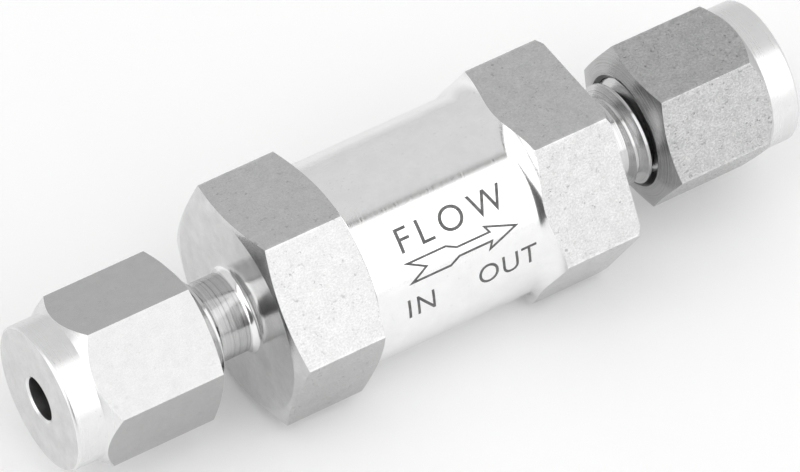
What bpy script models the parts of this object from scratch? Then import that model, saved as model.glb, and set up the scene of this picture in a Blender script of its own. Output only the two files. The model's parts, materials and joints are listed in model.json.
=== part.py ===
"""Inline poppet check valve with twin-ferrule tube ends, for 1/8 inch tube.

Flow runs along +X, from the inlet end to the outlet end. The origin is the middle of the flow axis and +Z is
up, square to a wrench flat of the outlet hex. The bodies and the nuts are turned from hexagon bar: each one is
a profile spun round the flow axis and then milled flat on its six sides.
"""

import math

import bmesh
import bpy
from mathutils import Vector

MM = 0.001

# Driving dimensions: the tube, the thread of the tube nut and the two hexagon bars
TUBE_RADIUS = 3.175 / 2 * MM
THREAD_RADIUS = 7.938 / 2 * MM
NUT_ACROSS_FLATS = 11.11 * MM
BODY_ACROSS_FLATS = 15.875 * MM

# Lengths along the flow axis, with the nuts run on loosely
OVERALL_LENGTH = 60.0 * MM
BODY_LENGTH = 28.0 * MM
NUT_LENGTH = 11.5 * MM
INLET_HEX_LENGTH = 7.15 * MM

# How far each hexagon is turned about +X from lying on a flat
INLET_HEX_CLOCKING = math.radians(-9.6)
INLET_NUT_CLOCKING = math.radians(-15.7)
OUTLET_NUT_CLOCKING = math.radians(2.4)

# Fits
SEATED_GAP = 0.05 * MM
SLIDING_GAP = 0.10 * MM
CORNER_BREAK = 0.06 * MM

# Tube ends of the two bodies
NECK_RADIUS = 3.0 * MM
NECK_LENGTH = 2.9 * MM
NECK_FILLET = 0.6 * MM
STUB_LENGTH = 9.6 * MM
THREAD_CHAMFER = 0.45 * MM
SOCKET_RADIUS = TUBE_RADIUS + 0.035 * MM
SOCKET_SHOULDER = 3.2 * MM
CONE_MOUTH_RADIUS = 2.55 * MM
CONE_HALF_ANGLE = math.radians(20)
BORE_RADIUS = 1.2 * MM

# Hexagons and barrel
BARREL_RADIUS = 7.64 * MM
BARREL_EDGE = 0.15 * MM
SHOULDER_FACE = 7.75 * MM
SHOULDER_FILLET = 1.4 * MM
OUTLET_HEX_EDGE = 0.30 * MM
INLET_FACE_RADIUS = 7.7 * MM
INLET_CHAMFER_SLOPE = 2.9

# Joint between the bodies: spigot, thread and O-ring
SPIGOT_THREAD_RADIUS = 5.9 * MM
SPIGOT_CHAMFER = 0.4 * MM
SPIGOT_END = -0.6 * MM
RING_NECK_RADIUS = 4.9 * MM
RING_NECK_LENGTH = 1.6 * MM
RING_CORD_RADIUS = 0.62 * MM
RING_SQUEEZE_GAP = SLIDING_GAP

# Valve chamber and poppet
CHAMBER_RADIUS = 4.6 * MM
CHAMBER_START = -0.3 * MM
STOP_SHOULDER = 8.6 * MM
POCKET_RADIUS = 3.9 * MM
POCKET_LAND = 0.2 * MM
SEAT_MOUTH_RADIUS = 2.6 * MM
NOSE_TIP = -1.75 * MM
NOSE_GAP = 0.35 * MM
SEAL_CORD_RADIUS = 0.4 * MM
SEAL_CENTRE = -0.75 * MM
GUIDE_START = 0.4 * MM
GUIDE_LENGTH = 2.0 * MM
GUIDE_EDGE = 0.15 * MM
POPPET_NECK_RADIUS = 2.3 * MM
STEM_RADIUS = 1.0 * MM
STEM_SHOULDER_LENGTH = 0.2 * MM
STEM_END = 6.95 * MM
FLUTE_COUNT = 4
FLUTE_RADIUS = 1.45 * MM

# Poppet stop and spring
STOP_DISC_LENGTH = 0.95 * MM
STOP_BOSS_RADIUS = 1.6 * MM
STOP_BOSS_END = 4.2 * MM
PORT_COUNT = 4
PORT_RADIUS = 0.8 * MM
PORT_CIRCLE_RADIUS = 3.05 * MM
SPRING_RADIUS = 2.0 * MM
WIRE_RADIUS = 0.2 * MM
SPRING_TURNS = 5.5
POINTS_PER_TURN = 12

# Tube nut
COLLAR_RADIUS = 5.48 * MM
COLLAR_LENGTH = 2.3 * MM
COLLAR_EDGE = 0.17 * MM
COLLAR_CONE_SLOPE = 1.0
MOUTH_FACE_RADIUS = 5.4 * MM
MOUTH_CHAMFER_SLOPE = 1.7
MOUTH_COUNTERSINK = 0.38 * MM
NUT_HOLE_RADIUS = TUBE_RADIUS + 0.04 * MM
NUT_HOLE_EDGE = 0.17 * MM
NUT_HOLE_LENGTH = 2.7 * MM
NUT_CONE_LENGTH = 0.95 * MM
FERRULE_CHAMBER_RADIUS = 2.75 * MM
FERRULE_CHAMBER_END = 6.1 * MM

# Ferrules, in the nut
FERRULE_BORE_RADIUS = TUBE_RADIUS + 0.07 * MM
FERRULE_RADIUS = 2.6 * MM
FRONT_FERRULE_PLACE = 4.1 * MM
FRONT_FERRULE_LENGTH = 2.6 * MM
FRONT_NOSE_RADIUS = 1.95 * MM
FRONT_CONE_LENGTH = 2.0 * MM
FRONT_RECESS_RADIUS = 2.2 * MM
FRONT_RECESS_DEPTH = 0.65 * MM
FERRULE_EDGE = 0.1 * MM
BACK_FERRULE_PLACE = 6.4 * MM
BACK_FERRULE_LENGTH = 1.72 * MM
BACK_NOSE_RADIUS = 1.88 * MM
BACK_NOSE_SLOPE = 0.7
BACK_FLANGE_START = 0.4 * MM
BACK_FLANGE_END = 1.35 * MM
BACK_HEEL_RADIUS = 2.15 * MM

# Facets round the axis, and the distance under which points are one
BODY_SEGMENTS = 36
SMALL_SEGMENTS = 24
CORD_SEGMENTS = 8
FILLET_STEPS = 5
WELD = 1e-7
SMOOTH_ANGLE = math.radians(32)

HALF_BODY = BODY_LENGTH / 2
STUB_END = HALF_BODY + STUB_LENGTH
NUT_MOUTH = OVERALL_LENGTH / 2 - NUT_LENGTH
INLET_HEX_END = INLET_HEX_LENGTH - HALF_BODY
RING_CENTRE_RADIUS = RING_NECK_RADIUS + RING_SQUEEZE_GAP + RING_CORD_RADIUS
RING_RECESS_RADIUS = RING_CENTRE_RADIUS + RING_CORD_RADIUS + RING_SQUEEZE_GAP
SPIGOT_THREAD_START = INLET_HEX_END + RING_NECK_LENGTH
GUIDE_END = GUIDE_START + GUIDE_LENGTH


def corner_radius(across_flats):
    """Radius of a hexagon bar's corners, which are broken a little."""
    return across_flats / math.sqrt(3) - CORNER_BREAK


def fillet(corner, before, after, radius):
    """Points of an arc that rounds a corner between the two neighbouring points of an outline."""
    corner, before, after = Vector(corner), Vector(before), Vector(after)
    to_before, to_after = (before - corner).normalized(), (after - corner).normalized()
    half = to_before.angle(to_after) / 2
    centre = corner + (to_before + to_after).normalized() * (radius / math.sin(half))
    reach = radius / math.tan(half)
    start, end = corner + to_before * reach - centre, corner + to_after * reach - centre
    turn = start.angle_signed(end)
    points = []
    for step in range(FILLET_STEPS + 1):
        angle = -turn * step / FILLET_STEPS
        x = start.x * math.cos(angle) - start.y * math.sin(angle)
        r = start.x * math.sin(angle) + start.y * math.cos(angle)
        points.append((centre.x + x, centre.y + r))
    return points


def spun(outline, segments, closed=True):
    """A bmesh of an outline of (x, radius) points, turned round the flow axis."""
    shape = bmesh.new()
    points = [shape.verts.new((x, radius, 0)) for x, radius in outline]
    followers = points[1:] + points[:1] if closed else points[1:]
    edges = [shape.edges.new(pair) for pair in zip(points, followers)]
    bmesh.ops.spin(shape, geom=points + edges, axis=(1, 0, 0), cent=(0, 0, 0), angle=2 * math.pi,
                   steps=segments, use_merge=True)
    bmesh.ops.remove_doubles(shape, verts=shape.verts, dist=WELD)
    bmesh.ops.recalc_face_normals(shape, faces=shape.faces)
    return shape


def mill_flats(shape, across_flats):
    """Cuts the six sides of a hexagon, one of them facing down."""
    for side in range(6):
        angle = math.radians(30 + 60 * side)
        outward = Vector((0, math.cos(angle), math.sin(angle)))
        cut = bmesh.ops.bisect_plane(shape, geom=shape.verts[:] + shape.edges[:] + shape.faces[:], dist=WELD,
                                     plane_co=outward * across_flats / 2, plane_no=outward, clear_outer=True)
        rim = [piece for piece in cut["geom_cut"] if isinstance(piece, bmesh.types.BMEdge)]
        bmesh.ops.edgeloop_fill(shape, edges=rim)
    bmesh.ops.recalc_face_normals(shape, faces=shape.faces)


def mesh_of(name, shape):
    mesh = bpy.data.meshes.new(name)
    shape.to_mesh(mesh)
    shape.free()
    mesh.shade_smooth()
    mesh.set_sharp_from_angle(angle=SMOOTH_ANGLE)
    return mesh


def material(name, colour, roughness, metallic):
    made = bpy.data.materials.new(name)
    made.use_nodes = True
    shader = made.node_tree.nodes["Principled BSDF"]
    shader.inputs["Base Color"].default_value = (*colour, 1)
    shader.inputs["Roughness"].default_value = roughness
    shader.inputs["Metallic"].default_value = metallic
    return made


def piece(name, data, finish, carrier, place=0.0, clocking=0.0, facing_inlet=False):
    """An object on the flow axis. A piece that faces the inlet is turned end for end about +Z."""
    made = bpy.data.objects.new(name, data)
    if not data.materials:
        data.materials.append(finish)
    made.parent = carrier
    made.location = (-place if facing_inlet else place, 0, 0)
    made.rotation_euler = (-clocking if facing_inlet else clocking, 0, math.pi if facing_inlet else 0)
    bpy.context.scene.collection.objects.link(made)
    return made


def empty(name, carrier=None):
    made = bpy.data.objects.new(name, None)
    made.parent = carrier
    bpy.context.scene.collection.objects.link(made)
    return made


def cut_round_holes(target, name, count, circle_radius, hole_radius, start, end):
    """Takes equal round channels, parallel to the flow axis, out of a piece."""
    shape = bmesh.new()
    for hole in range(count):
        angle = 2 * math.pi * (hole + 0.5) / count
        made = bmesh.ops.create_cone(shape, cap_ends=True, segments=SMALL_SEGMENTS, radius1=hole_radius,
                                     radius2=hole_radius, depth=end - start)
        centre = Vector(((start + end) / 2, circle_radius * math.cos(angle), circle_radius * math.sin(angle)))
        for vert in made["verts"]:
            vert.co = centre + Vector((vert.co.z, vert.co.x, vert.co.y))
    bmesh.ops.recalc_face_normals(shape, faces=shape.faces)
    cutter = bpy.data.objects.new(name, mesh_of(name, shape))
    cutter.parent = target
    cutter.hide_render = True
    cutter.display_type = "WIRE"
    bpy.context.scene.collection.objects.link(cutter)
    modifier = target.modifiers.new(name, "BOOLEAN")
    modifier.object = cutter
    modifier.operation = "DIFFERENCE"


def tube_end(hex_face):
    """Outline of a body's tube end, from the hex face out over the thread and back down the bore, facing +X."""
    thread_start = HALF_BODY + NECK_LENGTH
    run_out = THREAD_RADIUS - NECK_RADIUS
    cone_length = (CONE_MOUTH_RADIUS - SOCKET_RADIUS) / math.tan(CONE_HALF_ANGLE)
    shoulder = HALF_BODY + SOCKET_SHOULDER
    neck_corner = (HALF_BODY, NECK_RADIUS)
    return [
        hex_face,
        *fillet(neck_corner, hex_face, (thread_start, NECK_RADIUS), NECK_FILLET),
        (thread_start, NECK_RADIUS),
        (thread_start + run_out / 2, THREAD_RADIUS),
        (STUB_END - THREAD_CHAMFER, THREAD_RADIUS),
        (STUB_END, THREAD_RADIUS - THREAD_CHAMFER),
        (STUB_END, CONE_MOUTH_RADIUS),
        (STUB_END - cone_length, SOCKET_RADIUS),
        (shoulder, SOCKET_RADIUS),
        (shoulder, BORE_RADIUS),
    ]


def outlet_body_shape():
    """Barrel, outlet hex and outlet tube end, in one piece."""
    corner = corner_radius(BODY_ACROSS_FLATS)
    barrel_end = INLET_HEX_END + SEATED_GAP
    shoulder = (SHOULDER_FACE, BARREL_RADIUS)
    shoulder_top = (SHOULDER_FACE, corner)
    pocket_start = STOP_SHOULDER + POCKET_LAND
    thread_bore = SPIGOT_THREAD_RADIUS + SLIDING_GAP
    recess_end = SPIGOT_THREAD_START - (RING_RECESS_RADIUS - thread_bore)
    outline = [
        (barrel_end, RING_RECESS_RADIUS),
        (barrel_end, BARREL_RADIUS - BARREL_EDGE),
        (barrel_end + BARREL_EDGE, BARREL_RADIUS),
        *fillet(shoulder, (barrel_end, BARREL_RADIUS), shoulder_top, SHOULDER_FILLET),
        shoulder_top,
        (HALF_BODY - OUTLET_HEX_EDGE, corner),
        *tube_end((HALF_BODY, corner - OUTLET_HEX_EDGE)),
        (pocket_start + POCKET_RADIUS - BORE_RADIUS, BORE_RADIUS),
        (pocket_start, POCKET_RADIUS),
        (STOP_SHOULDER, POCKET_RADIUS),
        (STOP_SHOULDER, CHAMBER_RADIUS),
        (CHAMBER_START, CHAMBER_RADIUS),
        (CHAMBER_START, thread_bore),
        (SPIGOT_THREAD_START, thread_bore),
        (recess_end, RING_RECESS_RADIUS),
    ]
    shape = spun(outline, BODY_SEGMENTS)
    mill_flats(shape, BODY_ACROSS_FLATS)
    return shape


def inlet_body_shape():
    """Inlet tube end, inlet hex and the spigot that screws into the barrel and carries the seat, facing +X."""
    corner = corner_radius(BODY_ACROSS_FLATS)
    chamfer = (corner - INLET_FACE_RADIUS) / INLET_CHAMFER_SLOPE
    hex_end, thread_start, spigot_end = -INLET_HEX_END, -SPIGOT_THREAD_START, -SPIGOT_END
    seat_depth = SEAT_MOUTH_RADIUS - BORE_RADIUS
    outline = [
        (spigot_end + seat_depth, BORE_RADIUS),
        (spigot_end, SEAT_MOUTH_RADIUS),
        (spigot_end, SPIGOT_THREAD_RADIUS - SPIGOT_CHAMFER),
        (spigot_end + SPIGOT_CHAMFER, SPIGOT_THREAD_RADIUS),
        (thread_start - SPIGOT_CHAMFER, SPIGOT_THREAD_RADIUS),
        (thread_start, SPIGOT_THREAD_RADIUS - SPIGOT_CHAMFER),
        (thread_start, RING_NECK_RADIUS),
        (hex_end, RING_NECK_RADIUS),
        (hex_end, INLET_FACE_RADIUS),
        (hex_end + chamfer, corner),
        (HALF_BODY - chamfer, corner),
        *tube_end((HALF_BODY, INLET_FACE_RADIUS)),
    ]
    shape = spun(outline, BODY_SEGMENTS)
    mill_flats(shape, BODY_ACROSS_FLATS)
    return shape


def nut_shape():
    """Tube nut, from its mouth at zero to its end face, facing +X."""
    corner = corner_radius(NUT_ACROSS_FLATS)
    collar_start = NUT_LENGTH - COLLAR_LENGTH
    thread_bore = THREAD_RADIUS + SLIDING_GAP
    cone_end = NUT_LENGTH - NUT_HOLE_LENGTH
    outline = [
        (0, thread_bore + MOUTH_COUNTERSINK),
        (0, MOUTH_FACE_RADIUS),
        ((corner - MOUTH_FACE_RADIUS) / MOUTH_CHAMFER_SLOPE, corner),
        (collar_start - (corner - COLLAR_RADIUS) / COLLAR_CONE_SLOPE, corner),
        (collar_start, COLLAR_RADIUS),
        (NUT_LENGTH - COLLAR_EDGE, COLLAR_RADIUS),
        (NUT_LENGTH, COLLAR_RADIUS - COLLAR_EDGE),
        (NUT_LENGTH, NUT_HOLE_RADIUS + NUT_HOLE_EDGE),
        (NUT_LENGTH - NUT_HOLE_EDGE, NUT_HOLE_RADIUS),
        (cone_end, NUT_HOLE_RADIUS),
        (cone_end - NUT_CONE_LENGTH, FERRULE_CHAMBER_RADIUS),
        (FERRULE_CHAMBER_END, FERRULE_CHAMBER_RADIUS),
        (FERRULE_CHAMBER_END, thread_bore),
        (MOUTH_COUNTERSINK, thread_bore),
    ]
    shape = spun(outline, BODY_SEGMENTS)
    mill_flats(shape, NUT_ACROSS_FLATS)
    return shape


def front_ferrule_shape():
    """Cone that wedges into the body, from its nose at zero, facing +X."""
    length = FRONT_FERRULE_LENGTH
    return spun([
        (0, FERRULE_BORE_RADIUS),
        (0, FRONT_NOSE_RADIUS),
        (FRONT_CONE_LENGTH, FERRULE_RADIUS),
        (length - FERRULE_EDGE, FERRULE_RADIUS),
        (length, FERRULE_RADIUS - FERRULE_EDGE),
        (length, FRONT_RECESS_RADIUS),
        (length - FRONT_RECESS_DEPTH, FERRULE_BORE_RADIUS),
    ], SMALL_SEGMENTS)


def back_ferrule_shape():
    """Ring whose nose bites the tube behind the front ferrule, from its nose at zero, facing +X."""
    root = BACK_NOSE_RADIUS + BACK_NOSE_SLOPE * BACK_FLANGE_START
    return spun([
        (0, FERRULE_BORE_RADIUS),
        (0, BACK_NOSE_RADIUS),
        (BACK_FLANGE_START, root),
        (BACK_FLANGE_START, FERRULE_RADIUS),
        (BACK_FLANGE_END, FERRULE_RADIUS),
        (BACK_FERRULE_LENGTH, BACK_HEEL_RADIUS),
        (BACK_FERRULE_LENGTH, FERRULE_BORE_RADIUS),
    ], SMALL_SEGMENTS)


def seal_ring_shape(centre_radius, cord_radius, segments):
    """O-ring about the flow axis, centred on zero."""
    cord = []
    for step in range(CORD_SEGMENTS):
        angle = 2 * math.pi * step / CORD_SEGMENTS
        cord.append((cord_radius * math.cos(angle), centre_radius + cord_radius * math.sin(angle)))
    return spun(cord, segments)


def seal_centre_radius():
    """Radius at which the poppet's O-ring just clears the 45 degree cone of the seat."""
    cone_radius = SEAT_MOUTH_RADIUS + SEAL_CENTRE - SPIGOT_END
    return cone_radius - (SEAL_CORD_RADIUS + SEATED_GAP) * math.sqrt(2)


def poppet_shape():
    """Nose with the seal groove, fluted guide and stem, from the nose to the stem's end."""
    groove_radius = seal_centre_radius() - SEAL_CORD_RADIUS - SEATED_GAP
    groove_half = SEAL_CORD_RADIUS + SEATED_GAP
    lip = SEAL_CENTRE - groove_half
    back = SEAL_CENTRE + groove_half
    nose_radius = SEAT_MOUTH_RADIUS - SPIGOT_END - NOSE_GAP
    guide_radius = CHAMBER_RADIUS - SLIDING_GAP
    shoulder_end = GUIDE_END + STEM_SHOULDER_LENGTH
    return spun([
        (NOSE_TIP, 0),
        (NOSE_TIP, nose_radius + NOSE_TIP),
        (lip, nose_radius + lip),
        (lip, groove_radius),
        (back, groove_radius),
        (back, POPPET_NECK_RADIUS),
        (GUIDE_START, POPPET_NECK_RADIUS),
        (GUIDE_START, guide_radius - GUIDE_EDGE),
        (GUIDE_START + GUIDE_EDGE, guide_radius),
        (GUIDE_END - GUIDE_EDGE, guide_radius),
        (GUIDE_END, guide_radius - GUIDE_EDGE),
        (GUIDE_END, STOP_BOSS_RADIUS),
        (shoulder_end, STOP_BOSS_RADIUS),
        (shoulder_end, STEM_RADIUS),
        (STEM_END - GUIDE_EDGE, STEM_RADIUS),
        (STEM_END, STEM_RADIUS - GUIDE_EDGE),
        (STEM_END, 0),
    ], BODY_SEGMENTS, closed=False)


def stop_shape():
    """Disc that sits on the outlet shoulder, with a tubular boss that guides the stem and limits the lift."""
    disc_end = STOP_SHOULDER - SEATED_GAP
    disc_start = disc_end - STOP_DISC_LENGTH
    stem_hole = STEM_RADIUS + SLIDING_GAP
    return spun([
        (STOP_BOSS_END, stem_hole),
        (STOP_BOSS_END, STOP_BOSS_RADIUS),
        (disc_start, STOP_BOSS_RADIUS),
        (disc_start, CHAMBER_RADIUS - SLIDING_GAP),
        (disc_end, CHAMBER_RADIUS - SLIDING_GAP),
        (disc_end, stem_hole),
    ], BODY_SEGMENTS)


def spring_curve():
    """Helix of round wire between the poppet's guide and the stop's disc. Prints its least gap to itself."""
    start = GUIDE_END + SEATED_GAP + WIRE_RADIUS
    end = STOP_SHOULDER - STOP_DISC_LENGTH - 2 * SEATED_GAP - WIRE_RADIUS
    count = round(SPRING_TURNS * POINTS_PER_TURN)
    points = []
    for step in range(count + 1):
        angle = 2 * math.pi * step / POINTS_PER_TURN
        along = start + (end - start) * step / count
        points.append(Vector((along, SPRING_RADIUS * math.cos(angle), SPRING_RADIUS * math.sin(angle))))
    pairs = [(a, b) for i, a in enumerate(points) for b in points[i + POINTS_PER_TURN // 2:]]
    least = min((a - b).length for a, b in pairs) - 2 * WIRE_RADIUS
    print(f"spring: least gap to itself {least / MM:.2f} mm")
    curve = bpy.data.curves.new("spring", "CURVE")
    curve.dimensions = "3D"
    curve.bevel_depth = WIRE_RADIUS
    curve.bevel_resolution = 1
    curve.use_fill_caps = True
    spline = curve.splines.new("POLY")
    spline.points.add(count)
    for point, place in zip(spline.points, points):
        point.co = (*place, 1)
    return curve


def build_bodies(carrier, steel, rubber):
    piece("outlet_body", mesh_of("outlet_body", outlet_body_shape()), steel, carrier)
    piece("inlet_body", mesh_of("inlet_body", inlet_body_shape()), steel, carrier,
          clocking=INLET_HEX_CLOCKING, facing_inlet=True)
    ring = seal_ring_shape(RING_CENTRE_RADIUS, RING_CORD_RADIUS, BODY_SEGMENTS)
    piece("body_o_ring", mesh_of("body_o_ring", ring), rubber, carrier, INLET_HEX_END + RING_NECK_LENGTH / 2)


def build_valve_gear(carrier, steel, spring_steel, rubber):
    poppet_axis = empty("poppet_axis", carrier)
    poppet = piece("poppet", mesh_of("poppet", poppet_shape()), steel, poppet_axis)
    cut_round_holes(poppet, "flute_cutter", FLUTE_COUNT, CHAMBER_RADIUS, FLUTE_RADIUS,
                    GUIDE_START - GUIDE_EDGE, GUIDE_END + GUIDE_EDGE)
    seal = seal_ring_shape(seal_centre_radius(), SEAL_CORD_RADIUS, SMALL_SEGMENTS)
    piece("poppet_o_ring", mesh_of("poppet_o_ring", seal), rubber, poppet_axis, SEAL_CENTRE)
    stop = piece("poppet_stop", mesh_of("poppet_stop", stop_shape()), steel, carrier)
    cut_round_holes(stop, "port_cutter", PORT_COUNT, PORT_CIRCLE_RADIUS, PORT_RADIUS,
                    STOP_SHOULDER - 2 * STOP_DISC_LENGTH, STOP_SHOULDER + STOP_DISC_LENGTH)
    piece("spring", spring_curve(), spring_steel, carrier)


def build_tube_ends(carrier, steel):
    """The nut and the two ferrules of each end. Both ends share their meshes."""
    nut = mesh_of("nut", nut_shape())
    front = mesh_of("front_ferrule", front_ferrule_shape())
    back = mesh_of("back_ferrule", back_ferrule_shape())
    for end, clocking in (("inlet", INLET_NUT_CLOCKING), ("outlet", OUTLET_NUT_CLOCKING)):
        faces_inlet = end == "inlet"
        nut_axis = empty(f"{end}_nut_axis", carrier)
        piece(f"{end}_nut", nut, steel, nut_axis, NUT_MOUTH, clocking, faces_inlet)
        piece(f"{end}_front_ferrule", front, steel, nut_axis, NUT_MOUTH + FRONT_FERRULE_PLACE, 0.0, faces_inlet)
        piece(f"{end}_back_ferrule", back, steel, nut_axis, NUT_MOUTH + BACK_FERRULE_PLACE, 0.0, faces_inlet)


def main():
    for old in list(bpy.data.objects):
        bpy.data.objects.remove(old)
    steel = material("stainless_steel", (0.78, 0.78, 0.77), 0.28, 1.0)
    spring_steel = material("spring_steel", (0.62, 0.62, 0.62), 0.22, 1.0)
    rubber = material("seal_rubber", (0.045, 0.035, 0.03), 0.55, 0.0)
    flow_axis = empty("flow_axis")
    build_bodies(flow_axis, steel, rubber)
    build_valve_gear(flow_axis, steel, spring_steel, rubber)
    build_tube_ends(flow_axis, steel)


main()
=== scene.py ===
"""Looks of the inline check valve: turned and milled steel, cut threads, flow marking, studio and camera.

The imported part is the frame. Every visible piece is a finer mesh that stands for its node, built in the
valve's own frame: +X along the flow, +Z up. The pieces of a tube end are built facing +X and turned end
for end if they belong to the inlet.
"""

from __future__ import annotations

import json
import logging
import math
from collections.abc import Iterable
from dataclasses import dataclass
from enum import Enum, IntEnum
from typing import Any

import bmesh
import bpy
from mathutils import Matrix, Vector
from mathutils.geometry import intersect_point_line

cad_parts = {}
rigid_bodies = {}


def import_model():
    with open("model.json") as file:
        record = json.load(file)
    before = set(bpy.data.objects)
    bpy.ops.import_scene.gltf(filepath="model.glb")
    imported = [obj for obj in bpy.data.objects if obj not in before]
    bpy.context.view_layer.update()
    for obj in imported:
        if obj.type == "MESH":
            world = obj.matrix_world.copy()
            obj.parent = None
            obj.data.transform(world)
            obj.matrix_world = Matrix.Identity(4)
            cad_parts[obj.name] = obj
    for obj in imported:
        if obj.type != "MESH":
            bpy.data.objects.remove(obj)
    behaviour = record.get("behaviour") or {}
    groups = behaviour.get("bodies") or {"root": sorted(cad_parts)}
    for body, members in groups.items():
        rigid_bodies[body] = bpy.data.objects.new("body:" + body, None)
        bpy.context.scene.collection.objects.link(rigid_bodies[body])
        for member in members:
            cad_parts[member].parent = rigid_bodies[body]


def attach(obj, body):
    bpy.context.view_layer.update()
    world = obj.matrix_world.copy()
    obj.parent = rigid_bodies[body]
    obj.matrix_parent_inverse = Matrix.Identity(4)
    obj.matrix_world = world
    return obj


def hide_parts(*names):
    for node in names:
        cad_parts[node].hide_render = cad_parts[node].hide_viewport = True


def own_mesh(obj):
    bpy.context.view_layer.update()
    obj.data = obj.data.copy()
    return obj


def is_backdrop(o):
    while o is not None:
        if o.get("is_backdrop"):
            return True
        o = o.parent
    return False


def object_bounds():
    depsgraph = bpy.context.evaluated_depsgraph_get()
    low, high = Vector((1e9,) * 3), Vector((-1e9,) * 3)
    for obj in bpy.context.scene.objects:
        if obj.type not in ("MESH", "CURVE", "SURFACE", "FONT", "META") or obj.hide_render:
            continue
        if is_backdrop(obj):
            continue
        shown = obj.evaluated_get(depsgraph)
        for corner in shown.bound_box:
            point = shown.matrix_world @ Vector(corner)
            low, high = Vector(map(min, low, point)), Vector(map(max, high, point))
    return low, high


log = logging.getLogger("check_valve")

MM = 0.001

# Facets round a wide piece, a middling one and a narrow one
FINE = 144
MEDIUM = 96
SMALL = 64

# Distance at which points are one point, and bend below which an edge is straight
WELD = 1e-7
STRAIGHT = 3e-7

# Edges sharper than this stay sharp
SMOOTH_ANGLE = math.radians(32)

# A hexagon's sides, and the degrees between them
HEX_SIDES = 6
HEX_STEP = 60.0

# Share of the axis in a face's normal past which it is an end face, or looks out of a nut's mouth
FACED_TILT = 0.85
MOUTH_TILT = 0.3

# Share of the width across flats outside which a face is one of the bar's broken corners
CORNER_SHARE = 0.55

# Length of a step of an arc, and the fewest steps that it has
ARC_STEP = 0.1 * MM
LEAST_ARC_STEPS = 3

# Values between which nearly all of a noise lies
NOISE_LOW = 0.3
NOISE_HIGH = 0.7

NodeInput = Any
Point = tuple[float, float]
Shape = bmesh.types.BMesh
Material = bpy.types.Material
Piece = bpy.types.Object
Socket = bpy.types.NodeSocket


class End(Enum):
    """The end of the valve that a piece faces."""

    INLET = "inlet"
    OUTLET = "outlet"

    def facing(self) -> Matrix:
        """Turn from the frame of an end that faces +X to the valve's frame."""
        return Matrix.Rotation(math.pi if self is End.INLET else 0.0, 4, "Z")

    def clocking(self, angle: float) -> float:
        """An angle about the valve's +X, as seen in the frame of an end that faces +X."""
        return -angle if self is End.INLET else angle


class Surface(IntEnum):
    """Material slots of a steel piece."""

    TURNED = 0
    FLAT = 1
    THREAD = 2
    FACED = 3
    DRILLED = 4
    MOUTH = 5


class Wear(Enum):
    """How much a piece's flats have been handled and scratched."""

    CLEAN = "clean"
    HANDLED = "handled"
    MARKED = "marked"
    SCUFFED = "scuffed"


@dataclass(frozen=True)
class Corner:
    """A corner of a turned outline, at a place along the axis and a radius, eased by a small arc."""

    x: float
    radius: float
    ease: float = 0.0


@dataclass(frozen=True)
class Pattern:
    """A noise: features to the metre, layers, their strength, values for none and full, and X stretch."""

    per_metre: float
    detail: float
    rough: float = 0.5
    low: float = NOISE_LOW
    high: float = NOISE_HIGH
    stretch: float = 1.0


def grey(value: float) -> tuple[float, float, float, float]:
    """A neutral colour."""
    return (value, value, value, 1.0)


def axis_distance(vert: bmesh.types.BMVert) -> float:
    """Distance of a point from the flow axis."""
    return math.hypot(vert.co.y, vert.co.z)


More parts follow.
